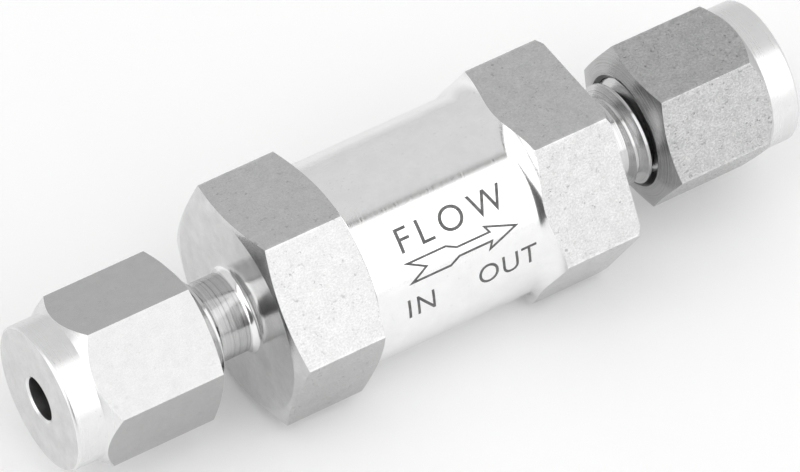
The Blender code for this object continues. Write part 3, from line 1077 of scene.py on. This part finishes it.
@dataclass
class ValveBodies:
    """The inlet and outlet bodies, turned from one size of hexagon bar."""

    finishes: Finishes
    tube_end: TubeEnd = TubeEnd()
    across_flats: float = 15.875 * MM
    corner_break: float = 0.015 * MM
    inlet_clocking: float = math.radians(-9.6)
    hex_inner_face: float = 6.85 * MM
    seam: float = 0.05 * MM
    barrel_radius: float = 7.64 * MM
    barrel_edge: float = 0.12 * MM
    shoulder_face: float = 7.75 * MM
    shoulder_fillet: float = 1.4 * MM
    outlet_hex_edge: float = 0.30 * MM
    inlet_face_radius: float = 7.7 * MM
    inlet_chamfer_slope: float = 2.9
    edge: float = 0.06 * MM
    spigot_radius: float = 5.9 * MM
    spigot_chamfer: float = 0.4 * MM
    spigot_end: float = 0.6 * MM
    spigot_start: float = 5.25 * MM
    ring_neck_radius: float = 4.9 * MM
    ring_recess_radius: float = 6.34 * MM
    thread_gap: float = 0.1 * MM
    chamber_radius: float = 4.6 * MM
    chamber_start: float = -0.3 * MM
    stop_shoulder: float = 8.6 * MM
    pocket_radius: float = 3.9 * MM
    pocket_land: float = 0.2 * MM
    seat_radius: float = 2.6 * MM
    drilled_radius: float = 2.0 * MM

    def corner_radius(self) -> float:
        """Radius of the bar's broken corners."""
        return self.across_flats / math.sqrt(3) - self.corner_break

    def outlet_outline(self) -> list[Corner]:
        """Outline of the barrel, the outlet hex and the outlet tube end.

        Returns:
            The outline's corners.
        """
        corner, end = self.corner_radius(), self.tube_end
        bore = self.spigot_radius + self.thread_gap
        pocket = self.stop_shoulder + self.pocket_land
        return [
            Corner(-self.hex_inner_face + self.seam, self.ring_recess_radius),
            Corner(-self.hex_inner_face + self.seam, self.barrel_radius, self.barrel_edge),
            Corner(self.shoulder_face, self.barrel_radius, self.shoulder_fillet),
            Corner(self.shoulder_face, corner, self.edge),
            Corner(end.hex_face - self.outlet_hex_edge, corner),
            *end.outline(Corner(end.hex_face, corner - self.outlet_hex_edge, self.edge)),
            Corner(pocket + self.pocket_radius - end.bore_radius, end.bore_radius),
            Corner(pocket, self.pocket_radius),
            Corner(self.stop_shoulder, self.pocket_radius),
            Corner(self.stop_shoulder, self.chamber_radius),
            Corner(self.chamber_start, self.chamber_radius),
            Corner(self.chamber_start, bore),
            Corner(-self.spigot_start, bore),
            Corner(-self.spigot_start - (self.ring_recess_radius - bore), self.ring_recess_radius),
        ]

    def inlet_outline(self) -> list[Corner]:
        """Outline of the spigot, the inlet hex and the inlet tube end, facing +X.

        Returns:
            The outline's corners.
        """
        corner, end = self.corner_radius(), self.tube_end
        chamfer = (corner - self.inlet_face_radius) / self.inlet_chamfer_slope
        return [
            Corner(self.spigot_end + self.seat_radius - end.bore_radius, end.bore_radius),
            Corner(self.spigot_end, self.seat_radius, self.edge),
            Corner(self.spigot_end, self.spigot_radius - self.spigot_chamfer),
            Corner(self.spigot_end + self.spigot_chamfer, self.spigot_radius),
            Corner(self.spigot_start - self.spigot_chamfer, self.spigot_radius),
            Corner(self.spigot_start, self.spigot_radius - self.spigot_chamfer),
            Corner(self.spigot_start, self.ring_neck_radius, self.edge),
            Corner(self.hex_inner_face, self.ring_neck_radius, self.edge),
            Corner(self.hex_inner_face, self.inlet_face_radius, self.edge),
            Corner(self.hex_inner_face + chamfer, corner),
            Corner(end.hex_face - chamfer, corner),
            *end.outline(Corner(end.hex_face, self.inlet_face_radius, self.edge)),
        ]

    def body(self, end: End, outline: list[Corner], clocking: float, wear: Wear) -> None:
        """Turns, mills and threads one body, in place of its node.

        Args:
            end: The end that the body faces.
            outline: Its outline, facing +X.
            clocking: Turn of its hexagon about the valve's +X.
            wear: How worn its flats are.
        """
        shape = Workshop.turn(outline, FINE)
        Workshop.face_off(shape, self.drilled_radius)
        self.tube_end.dress(shape)
        Workshop.mill_hexagon(shape, self.across_flats)
        Workshop.move(shape, Matrix.Rotation(end.clocking(clocking), 4, "X"))
        shape = Workshop.carve(shape, self.tube_end.thread.outside_cutter(end), Surface.THREAD)
        Workshop.move(shape, end.facing())
        made = Workshop.finish(f"{end.value}_body_steel", shape, self.finishes.steel(wear))
        Workshop.stand_for(made, f"{end.value}_body", "valve_body", "stainless_steel")

    def build(self) -> None:
        """Builds both bodies."""
        self.body(End.OUTLET, self.outlet_outline(), 0.0, Wear.MARKED)
        self.body(End.INLET, self.inlet_outline(), self.inlet_clocking, Wear.HANDLED)


@dataclass(frozen=True)
class FrontFerrule:
    """Cone that wedges into the body, from its nose at zero."""

    along: float = 4.1 * MM
    bore: float = 1.6575 * MM
    radius: float = 2.6 * MM
    nose_radius: float = 1.95 * MM
    cone_end: float = 2.0 * MM
    length: float = 2.6 * MM
    mouth_radius: float = 2.2 * MM
    mouth_end: float = 1.95 * MM
    heel_edge: float = 0.1 * MM
    edge: float = 0.03 * MM

    def outline(self) -> list[Corner]:
        """Outline of the ferrule, facing +X.

        Returns:
            The outline's corners.
        """
        return [
            Corner(0.0, self.bore),
            Corner(0.0, self.nose_radius, self.edge),
            Corner(self.cone_end, self.radius, self.edge),
            Corner(self.length, self.radius, self.heel_edge),
            Corner(self.length, self.mouth_radius, self.edge),
            Corner(self.mouth_end, self.bore),
        ]


@dataclass(frozen=True)
class BackFerrule:
    """Ring that bites the tube, from its nose at zero."""

    along: float = 6.4 * MM
    bore: float = 1.6575 * MM
    radius: float = 2.6 * MM
    nose_radius: float = 1.88 * MM
    step: float = 0.4 * MM
    step_radius: float = 2.16 * MM
    heel: float = 1.35 * MM
    length: float = 1.72 * MM
    end_radius: float = 2.15 * MM
    edge: float = 0.03 * MM

    def outline(self) -> list[Corner]:
        """Outline of the ferrule, facing +X.

        Returns:
            The outline's corners.
        """
        return [
            Corner(0.0, self.bore),
            Corner(0.0, self.nose_radius, self.edge),
            Corner(self.step, self.step_radius),
            Corner(self.step, self.radius, self.edge),
            Corner(self.heel, self.radius, self.edge),
            Corner(self.length, self.end_radius, self.edge),
            Corner(self.length, self.bore),
        ]


@dataclass
class TubeNut:
    """Compression nut of one end, with its two ferrules."""

    finishes: Finishes
    end: End
    wear: Wear
    hex_clocking: float
    mouth_face_radius: float
    mouth_chamfer_slope: float
    thread: TubeThread = TubeThread()
    front_ferrule: FrontFerrule = FrontFerrule()
    back_ferrule: BackFerrule = BackFerrule()
    mouth: float = 18.5 * MM
    length: float = 11.5 * MM
    across_flats: float = 11.11 * MM
    corner_break: float = 0.015 * MM
    collar_radius: float = 5.48 * MM
    collar_length: float = 2.3 * MM
    collar_edge: float = 0.17 * MM
    countersink_radius: float = 4.3 * MM
    hole_radius: float = 1.6275 * MM
    hole_edge: float = 0.17 * MM
    hole_length: float = 2.7 * MM
    cone_length: float = 0.95 * MM
    chamber_radius: float = 2.75 * MM
    chamber_end: float = 6.1 * MM
    relief_radius: float = 4.10 * MM
    relief_start: float = 4.7 * MM
    edge: float = 0.06 * MM
    drilled_radius: float = 1.75 * MM
    mouth_depth: float = 2.0 * MM

    def outline(self) -> list[Corner]:
        """Outline of the nut, from its mouth at zero to its end face, facing +X.

        Returns:
            The outline's corners.
        """
        corner = self.across_flats / math.sqrt(3) - self.corner_break
        collar_start = self.length - self.collar_length
        cone_end = self.length - self.hole_length
        minor = self.thread.nut_minor_radius
        return [
            Corner(0.0, self.countersink_radius, self.edge),
            Corner(0.0, self.mouth_face_radius, self.edge),
            Corner((corner - self.mouth_face_radius) / self.mouth_chamfer_slope, corner),
            Corner(collar_start - (corner - self.collar_radius), corner),
            Corner(collar_start, self.collar_radius, self.edge),
            Corner(self.length - self.collar_edge, self.collar_radius, self.collar_edge),
            Corner(self.length, self.collar_radius - self.collar_edge, self.collar_edge),
            Corner(self.length, self.hole_radius + self.hole_edge, self.edge / 2),
            Corner(self.length - self.hole_edge, self.hole_radius, self.edge / 2),
            Corner(cone_end, self.hole_radius),
            Corner(cone_end - self.cone_length, self.chamber_radius),
            Corner(self.chamber_end, self.chamber_radius),
            Corner(self.chamber_end, self.relief_radius),
            Corner(self.relief_start, self.relief_radius),
            Corner(self.relief_start - (self.relief_radius - minor) / 2, minor),
            Corner(self.countersink_radius - minor, minor),
        ]

    def place(self, shape: Shape, along: float, clocking: float = 0.0) -> None:
        """Moves a shape out along the axis of an end that faces +X.

        Args:
            shape: The shape, moved in place.
            along: Distance from the nut's mouth.
            clocking: Turn about the valve's +X.
        """
        turn = Matrix.Rotation(self.end.clocking(clocking), 4, "X")
        Workshop.move(shape, Matrix.Translation((self.mouth + along, 0.0, 0.0)) @ turn)

    def build(self) -> None:
        """Builds the nut and its ferrules."""
        side = self.end.value
        shape = Workshop.turn(self.outline(), FINE)
        Workshop.face_off(shape, self.drilled_radius, self.mouth_depth)
        Workshop.mill_hexagon(shape, self.across_flats)
        self.place(shape, 0.0, self.hex_clocking)
        shape = Workshop.carve(shape, self.thread.inside_cutter(self.end), Surface.THREAD)
        Workshop.move(shape, self.end.facing())
        made = Workshop.finish(f"{side}_nut_steel", shape, self.finishes.nut_steel(self.wear))
        Workshop.stand_for(made, f"{side}_nut", f"{side}_nut", "stainless_steel")
        for name, ferrule in (("front_ferrule", self.front_ferrule), ("back_ferrule", self.back_ferrule)):
            shape = Workshop.turn(ferrule.outline(), MEDIUM)
            self.place(shape, ferrule.along)
            Workshop.move(shape, self.end.facing())
            made = Workshop.finish(f"{side}_{name}_steel", shape, [self.finishes.turned])
            Workshop.stand_for(made, f"{side}_{name}", f"{side}_ferrules", "stainless_steel")


@dataclass
class ValveGear:
    """What works inside the valve: poppet, seals, stop and spring."""

    finishes: Finishes
    seal_centre: float = -0.75 * MM
    seal_radius: float = 1.8136 * MM
    seal_cord: float = 0.4 * MM
    ring_centre: float = -6.05 * MM
    ring_radius: float = 5.62 * MM
    ring_cord: float = 0.62 * MM
    cord_steps: int = 16
    nose_end: float = -1.75 * MM
    nose_radius: float = 1.1 * MM
    lip_radius: float = 1.65 * MM
    groove_gap: float = 0.05 * MM
    hub_radius: float = 2.3 * MM
    guide_start: float = 0.4 * MM
    guide_end: float = 2.4 * MM
    guide_radius: float = 4.5 * MM
    flutes: int = 4
    flute_circle: float = 4.6 * MM
    flute_radius: float = 1.45 * MM
    flute_overrun: float = 0.15 * MM
    boss_radius: float = 1.6 * MM
    boss_height: float = 0.2 * MM
    boss_end: float = 4.2 * MM
    stem_radius: float = 1.0 * MM
    stem_gap: float = 0.1 * MM
    stem_end: float = 6.95 * MM
    disc_start: float = 7.6 * MM
    disc_end: float = 8.55 * MM
    ports: int = 4
    port_circle: float = 3.05 * MM
    port_radius: float = 0.8 * MM
    port_overrun: float = 1.0 * MM
    spring_radius: float = 2.0 * MM
    wire_radius: float = 0.2 * MM
    wire_steps: int = 10
    spring_start: float = 2.45 * MM
    spring_end: float = 7.55 * MM
    spring_turns: int = 4
    spring_steps: int = 24
    closed_pitch: float = 0.41 * MM
    edge: float = 0.04 * MM
    soft_edge: float = 0.1 * MM
    round_edge: float = 0.15 * MM
    lift: float = 1.5 * MM

    def poppet(self) -> None:
        """Builds the poppet: nose, seal groove, fluted guide and stem."""
        half_groove = self.seal_cord + self.groove_gap
        lip, back = self.seal_centre - half_groove, self.seal_centre + half_groove
        groove = self.seal_radius - half_groove
        shoulder = self.guide_end + self.boss_height
        shape = Workshop.turn([
            Corner(self.nose_end, 0.0),
            Corner(self.nose_end, self.nose_radius, self.soft_edge),
            Corner(lip, self.lip_radius, self.edge),
            Corner(lip, groove),
            Corner(back, groove),
            Corner(back, self.hub_radius, self.edge),
            Corner(self.guide_start, self.hub_radius, self.soft_edge),
            Corner(self.guide_start, self.guide_radius, self.round_edge),
            Corner(self.guide_end, self.guide_radius, self.round_edge),
            Corner(self.guide_end, self.boss_radius),
            Corner(shoulder, self.boss_radius, self.edge),
            Corner(shoulder, self.stem_radius),
            Corner(self.stem_end, self.stem_radius, self.round_edge),
            Corner(self.stem_end, 0.0),
        ], MEDIUM, closed=False)
        cutters = Workshop.channels(self.flutes, self.flute_circle, self.flute_radius,
                                    self.guide_start - self.flute_overrun,
                                    self.guide_end + self.flute_overrun)
        shape = Workshop.carve(shape, cutters, Surface.TURNED)
        made = Workshop.finish("poppet_steel", shape, self.finishes.steel(Wear.CLEAN))
        Workshop.stand_for(made, "poppet", "poppet", "stainless_steel")

    def stop(self) -> None:
        """Builds the poppet stop: ported disc and stem guide."""
        hole = self.stem_radius + self.stem_gap
        shape = Workshop.turn([
            Corner(self.boss_end, hole, self.edge),
            Corner(self.boss_end, self.boss_radius, self.edge),
            Corner(self.disc_start, self.boss_radius, self.soft_edge),
            Corner(self.disc_start, self.guide_radius, self.soft_edge),
            Corner(self.disc_end, self.guide_radius, self.soft_edge),
            Corner(self.disc_end, hole, self.edge),
        ], MEDIUM)
        cutters = Workshop.channels(self.ports, self.port_circle, self.port_radius,
                                    self.disc_start - self.port_overrun,
                                    self.disc_end + self.port_overrun)
        shape = Workshop.carve(shape, cutters, Surface.TURNED)
        made = Workshop.finish("poppet_stop_steel", shape, self.finishes.steel(Wear.CLEAN))
        Workshop.stand_for(made, "poppet_stop", "valve_body", "stainless_steel")

    def spring(self) -> None:
        """Builds the spring, coiled between the poppet and the stop."""
        length = self.spring_end - self.spring_start
        first = self.spring_start + self.wire_radius
        section = Workshop.circle(first, self.spring_radius, self.wire_radius, self.wire_steps)
        open_pitch = (length - 2 * self.wire_radius - 2 * self.closed_pitch) / self.spring_turns
        stretches = [(self.closed_pitch, 1), (open_pitch, self.spring_turns), (self.closed_pitch, 1)]
        shape = Workshop.helix(section, stretches, self.spring_steps)
        made = Workshop.finish("spring_wire_coil", shape, [self.finishes.wire])
        Workshop.stand_for(made, "spring", "valve_body", "spring_steel")
        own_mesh(made)

    def seal(self, name: str, node: str, body: str, centre: float, radius: float, cord: float) -> None:
        """Builds an O-ring.

        Args:
            name: The piece's name.
            node: The node that it stands for.
            body: The body that it moves with.
            centre: Its place along the axis.
            radius: Radius to the middle of its cord.
            cord: Radius of its cord.
        """
        outline = [Corner(*point) for point in Workshop.circle(centre, radius, cord, self.cord_steps)]
        made = Workshop.finish(name, Workshop.turn(outline, MEDIUM), [self.finishes.rubber])
        Workshop.stand_for(made, node, body, "seal_rubber")

    def build(self) -> None:
        """Builds every inner piece."""
        self.poppet()
        self.stop()
        self.spring()
        self.seal("poppet_seal_ring", "poppet_o_ring", "poppet",
                  self.seal_centre, self.seal_radius, self.seal_cord)
        self.seal("body_seal_ring", "body_o_ring", "valve_body",
                  self.ring_centre, self.ring_radius, self.ring_cord)


@dataclass(frozen=True)
class Word:
    """A plain word of the marking: its place on the barrel, the height of its capitals and its spacing."""

    text: str
    x: float
    angle: float
    height: float
    spacing: float = 1.0


@dataclass
class FlowMarking:
    """Etched outline arrow on the barrel, pointing with the flow, and plain words about it."""

    finishes: Finishes
    barrel_radius: float = 7.64 * MM
    middle_x: float = 0.52 * MM
    middle_angle: float = math.radians(150.0)
    length: float = 9.3 * MM
    head_length: float = 2.45 * MM
    head_half: float = 1.0 * MM
    barb: float = 0.3 * MM
    shaft_half: float = 0.42 * MM
    tail_half: float = 0.82 * MM
    tail_length: float = 3.5 * MM
    tail_taper: float = 0.8 * MM
    tail_notch: float = 1.5 * MM
    line: float = 0.16 * MM
    height: float = 0.010 * MM
    sunk: float = 0.030 * MM
    strip: float = 0.2 * MM
    thinning: float = 0.002
    curve_steps: int = 6
    words: tuple[Word, ...] = (
        Word("FLOW", 0.45 * MM, math.radians(131.8), 1.85 * MM, 1.35),
        Word("IN", -3.4 * MM, math.radians(170.2), 1.55 * MM, 1.15),
        Word("OUT", 3.75 * MM, math.radians(170.2), 1.55 * MM, 1.1),
    )

    def arrow(self) -> Shape:
        """Draws the outline of a flat arrow with a forked tail, along the first axis.

        Returns:
            The flat shape, about its own middle.
        """
        tip, tail = self.length / 2, -self.length / 2
        neck = tip - self.head_length
        waist = tail + self.tail_length
        half = [(neck - self.barb, self.head_half), (neck, self.shaft_half),
                (waist + self.tail_taper, self.shaft_half), (waist, self.tail_half), (tail, self.tail_half)]
        corners = [(tip, 0.0), *half, (tail + self.tail_notch, 0.0), *((x, -y) for x, y in reversed(half))]
        shape = bmesh.new()
        face = shape.faces.new([shape.verts.new((x, y, 0.0)) for x, y in corners])
        face.normal_update()
        bmesh.ops.inset_individual(shape, faces=[face], thickness=self.line, use_even_offset=True)
        bmesh.ops.delete(shape, geom=[face], context="FACES_ONLY")
        return shape

    def lettering(self, word: Word) -> Shape:
        """Sets a word.

        Args:
            word: The word.

        Returns:
            A flat shape about its own middle.
        """
        data = bpy.data.curves.new("marking", "FONT")
        data.body = word.text
        data.space_character = word.spacing
        data.offset = -self.thinning
        data.resolution_u = self.curve_steps
        made = Workshop.link("marking", data)
        shape = Workshop.result(made)
        bpy.data.objects.remove(made)
        bpy.data.curves.remove(data)
        left, low = (min(vert.co[axis] for vert in shape.verts) for axis in (0, 1))
        right, high = (max(vert.co[axis] for vert in shape.verts) for axis in (0, 1))
        size = word.height / (high - low)
        bmesh.ops.translate(shape, vec=(-(left + right) / 2, -(low + high) / 2, 0.0), verts=shape.verts)
        bmesh.ops.scale(shape, vec=(size, size, 1.0), verts=shape.verts)
        return shape

    def wrap(self, shape: Shape, middle_x: float, middle_angle: float) -> None:
        """Cuts a flat mark into narrow strips, bends it round the barrel and gives it its thickness.

        Args:
            shape: The flat mark, changed in place: first axis along the flow, second up the barrel.
            middle_x: Place of the mark's middle along the flow.
            middle_angle: Place of its middle round the barrel.
        """
        reach = max(abs(vert.co.y) for vert in shape.verts)
        count = math.ceil(2 * reach / self.strip)
        for cut in range(1, count):
            across = -reach + 2 * reach * cut / count
            bmesh.ops.bisect_plane(shape, geom=Workshop.whole(shape), dist=WELD,
                                   plane_co=(0, across, 0), plane_no=(0, 1, 0))
        outside, inside = self.barrel_radius + self.height, self.barrel_radius - self.sunk
        for vert in shape.verts:
            angle = middle_angle - vert.co.y / self.barrel_radius
            spoke = Vector((0.0, math.cos(angle), math.sin(angle)))
            vert.co = Vector((middle_x + vert.co.x, 0, 0)) + spoke * outside
        inner = bmesh.ops.extrude_face_region(shape, geom=shape.faces[:])["geom"]
        sunk = [part for part in inner if isinstance(part, bmesh.types.BMVert)]
        bmesh.ops.scale(shape, vec=(1.0, inside / outside, inside / outside), verts=sunk)
        bmesh.ops.recalc_face_normals(shape, faces=shape.faces)

    def etch(self, name: str, shape: Shape) -> None:
        """Makes a piece of a wrapped mark, on the body.

        Args:
            name: The piece's name.
            shape: The mark, used up.
        """
        made = Workshop.finish(name, shape, [self.finishes.mark])
        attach(made, "valve_body")
        log.info("%s: %d faces, on valve_body", made.name, len(made.data.polygons))

    def build(self) -> None:
        """Builds the arrow and the words."""
        shape = self.arrow()
        self.wrap(shape, self.middle_x, self.middle_angle)
        self.etch("flow_arrow", shape)
        for word in self.words:
            shape = self.lettering(word)
            self.wrap(shape, word.x, word.angle)
            self.etch(f"flow_word_{word.text.lower()}", shape)


@dataclass
class Studio:
    """Floor, soft light and camera."""

    azimuth: float = math.radians(-32.172)
    elevation: float = math.radians(46.922)
    distance: float = 494.75 * MM
    focal_length: float = 315.0
    sensor_width: float = 36.0
    nearest: float = 10.0 * MM
    aim_right: float = -0.4152 * MM
    aim_up: float = -0.3467 * MM
    floor_size: float = 6.0
    floor_squares: int = 8
    floor_gap: float = 0.05 * MM
    room_light: float = 0.72
    panel_light: float = 0.82
    panel_distance: float = 1.2
    panel_turn: float = math.radians(-27.0)
    panel_from: float = math.radians(89.8)
    panel_to: float = math.radians(173.2)
    fill_light: float = 0.22
    fill_to: float = math.radians(179.5)
    panel_length: float = 8.0
    frame_width: float = 0.13
    frame_depth: float = 0.0325
    frame_edge: float = 0.0065
    stand_distance: float = 0.45
    stand_tone: float = 0.075
    stand_outline: tuple[Point, ...] = (
        (0.0, 0.0), (0.21, 0.0), (0.20, 0.07), (0.16, 0.16),
        (0.09, 0.32), (0.045, 0.54), (0.045, 0.85), (0.0, 0.85),
    )

    def camera(self) -> None:
        """Sets the camera at the photograph's viewing angle."""
        back = Vector((math.sin(self.azimuth) * math.cos(self.elevation),
                       -math.cos(self.azimuth) * math.cos(self.elevation), math.sin(self.elevation)))
        right = Vector((math.cos(self.azimuth), math.sin(self.azimuth), 0.0))
        up = back.cross(right)
        data = bpy.data.cameras.new("camera")
        data.lens = self.focal_length
        data.sensor_width = self.sensor_width
        data.sensor_fit = "HORIZONTAL"
        data.clip_start = self.nearest
        made = Workshop.link("camera", data)
        place = right * self.aim_right + up * self.aim_up + back * self.distance
        axes = Matrix((right, up, back)).transposed().to_4x4()
        made.matrix_world = Matrix.Translation(place) @ axes
        bpy.context.scene.camera = made

    def floor(self, lowest: float) -> None:
        """Lays the floor just under the valve.

        Args:
            lowest: Height of the valve's lowest point.
        """
        shape = bmesh.new()
        bmesh.ops.create_grid(shape, x_segments=self.floor_squares, y_segments=self.floor_squares,
                              size=self.floor_size / 2)
        bmesh.ops.translate(shape, verts=shape.verts, vec=(0, 0, lowest - self.floor_gap))
        self.prop("floor", shape, PaleFloor("pale_floor").material())

    def light(self) -> None:
        """Lights the room evenly and puts a large soft panel in front and above, a weak fill under it."""
        world = bpy.data.worlds.new("room")
        world.use_nodes = True
        background = world.node_tree.nodes["Background"]
        background.inputs["Color"].default_value = grey(self.room_light)
        background.inputs["Strength"].default_value = 1.0
        bpy.context.scene.world = world
        upper, lower = self.panel("soft_panel", self.panel_from, self.panel_to, self.panel_light)
        self.panel("low_fill", self.panel_to, self.fill_to, self.fill_light)
        self.panel_frame(upper, lower)

    def panel_side(self) -> Vector:
        """Direction along the panel's length."""
        return Vector((math.cos(self.panel_turn), math.sin(self.panel_turn), 0.0))

    def panel_axes(self, upper: Vector, lower: Vector) -> Matrix:
        """Axes of a panel between two edges, its back outwards."""
        side, facing = self.panel_side(), (upper + lower).normalized()
        return Matrix((side, facing.cross(side), facing)).transposed().to_4x4()

    def panel(self, name: str, start: float, end: float, strength: float) -> tuple[Vector, Vector]:
        """Hangs a flat soft light over an arc about the valve.

        Args:
            name: The lamp's name.
            start: Angle of its upper edge, from the horizon behind the valve.
            end: Angle of its lower edge.
            strength: Its brightness as seen from the valve.

        Returns:
            The middles of its upper and lower edges.
        """
        upright = Vector((0.0, 0.0, 1.0))
        behind = upright.cross(self.panel_side())
        upper, lower = ((behind * math.cos(angle) + upright * math.sin(angle)) * self.panel_distance
                        for angle in (start, end))
        data = bpy.data.lights.new(name, "AREA")
        data.shape = "RECTANGLE"
        data.size = self.panel_length
        data.size_y = (lower - upper).length
        data.energy = strength * math.pi * data.size * data.size_y
        made = Workshop.link(name, data)
        made.matrix_world = Matrix.Translation((upper + lower) / 2) @ self.panel_axes(upper, lower)
        return upper, lower

    def panel_frame(self, upper: Vector, lower: Vector) -> None:
        """Puts the dark bar along the panel's upper edge that holds its sheet.

        Args:
            upper: Middle of the panel's upper edge.
            lower: Middle of its lower edge.
        """
        shape = bmesh.new()
        bmesh.ops.create_cube(shape, size=1.0)
        size = (self.panel_length, self.frame_width, self.frame_depth)
        bmesh.ops.scale(shape, vec=size, verts=shape.verts)
        bmesh.ops.bevel(shape, geom=shape.edges[:], offset=self.frame_edge, offset_type="OFFSET",
                        segments=2, profile=0.5, affect="EDGES", material=-1)
        place = upper + (upper - lower).normalized() * self.frame_width / 2
        Workshop.move(shape, Matrix.Translation(place) @ self.panel_axes(upper, lower))
        self.prop("panel_frame", shape, SealRubber("frame_paint").material())

    def camera_stand(self, lowest: float) -> None:
        """Puts a dark stand behind the camera, which only shows as a dark line in fillets that face it.

        Args:
            lowest: Height of the floor.
        """
        foot = Vector((math.sin(self.azimuth), -math.cos(self.azimuth), 0.0)) * self.stand_distance
        foot.z = lowest
        shape = bmesh.new()
        verts = [shape.verts.new(foot + Vector((radius, 0.0, height)))
                 for radius, height in self.stand_outline]
        edges = [shape.edges.new(pair) for pair in zip(verts, verts[1:])]
        bmesh.ops.spin(shape, geom=verts + edges, axis=(0, 0, 1), cent=foot, angle=2 * math.pi, steps=SMALL,
                       use_merge=True)
        bmesh.ops.remove_doubles(shape, verts=shape.verts, dist=WELD)
        bmesh.ops.recalc_face_normals(shape, faces=shape.faces)
        cloth = SealRubber("stand_cloth", tone=(self.stand_tone, self.stand_tone, self.stand_tone))
        made = self.prop("camera_stand", shape, cloth.material())
        made.visible_camera = False

    def prop(self, name: str, shape: Shape, material: Material) -> Piece:
        """Makes a piece of the studio.

        Args:
            name: Its name.
            shape: Its shape, used up.
            material: Its material.

        Returns:
            The object.
        """
        mesh = Workshop.mesh(name, shape)
        mesh.materials.append(material)
        made = Workshop.link(name, mesh)
        made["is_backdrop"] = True
        return made

    def build(self, lowest: float) -> None:
        """Builds the whole studio.

        Args:
            lowest: Height of the valve's lowest point.
        """
        self.camera()
        self.floor(lowest)
        self.light()
        self.camera_stand(lowest)
        bpy.context.scene.view_settings.view_transform = "Standard"


def main() -> None:
    """Loads the frame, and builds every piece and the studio."""
    logging.basicConfig(level=logging.INFO, format="%(name)s: %(message)s")
    for old in list(bpy.data.objects):
        bpy.data.objects.remove(old)
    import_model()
    cad_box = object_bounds()
    finishes = Finishes()
    ValveBodies(finishes).build()
    TubeNut(finishes, End.INLET, Wear.CLEAN, hex_clocking=math.radians(-15.7),
            mouth_face_radius=5.63 * MM, mouth_chamfer_slope=3.3).build()
    TubeNut(finishes, End.OUTLET, Wear.SCUFFED, hex_clocking=math.radians(2.4),
            mouth_face_radius=4.5 * MM, mouth_chamfer_slope=2.6).build()
    ValveGear(finishes).build()
    FlowMarking(finishes).build()
    Studio().build(cad_box[0][2])


if __name__ == "__main__":
    main()
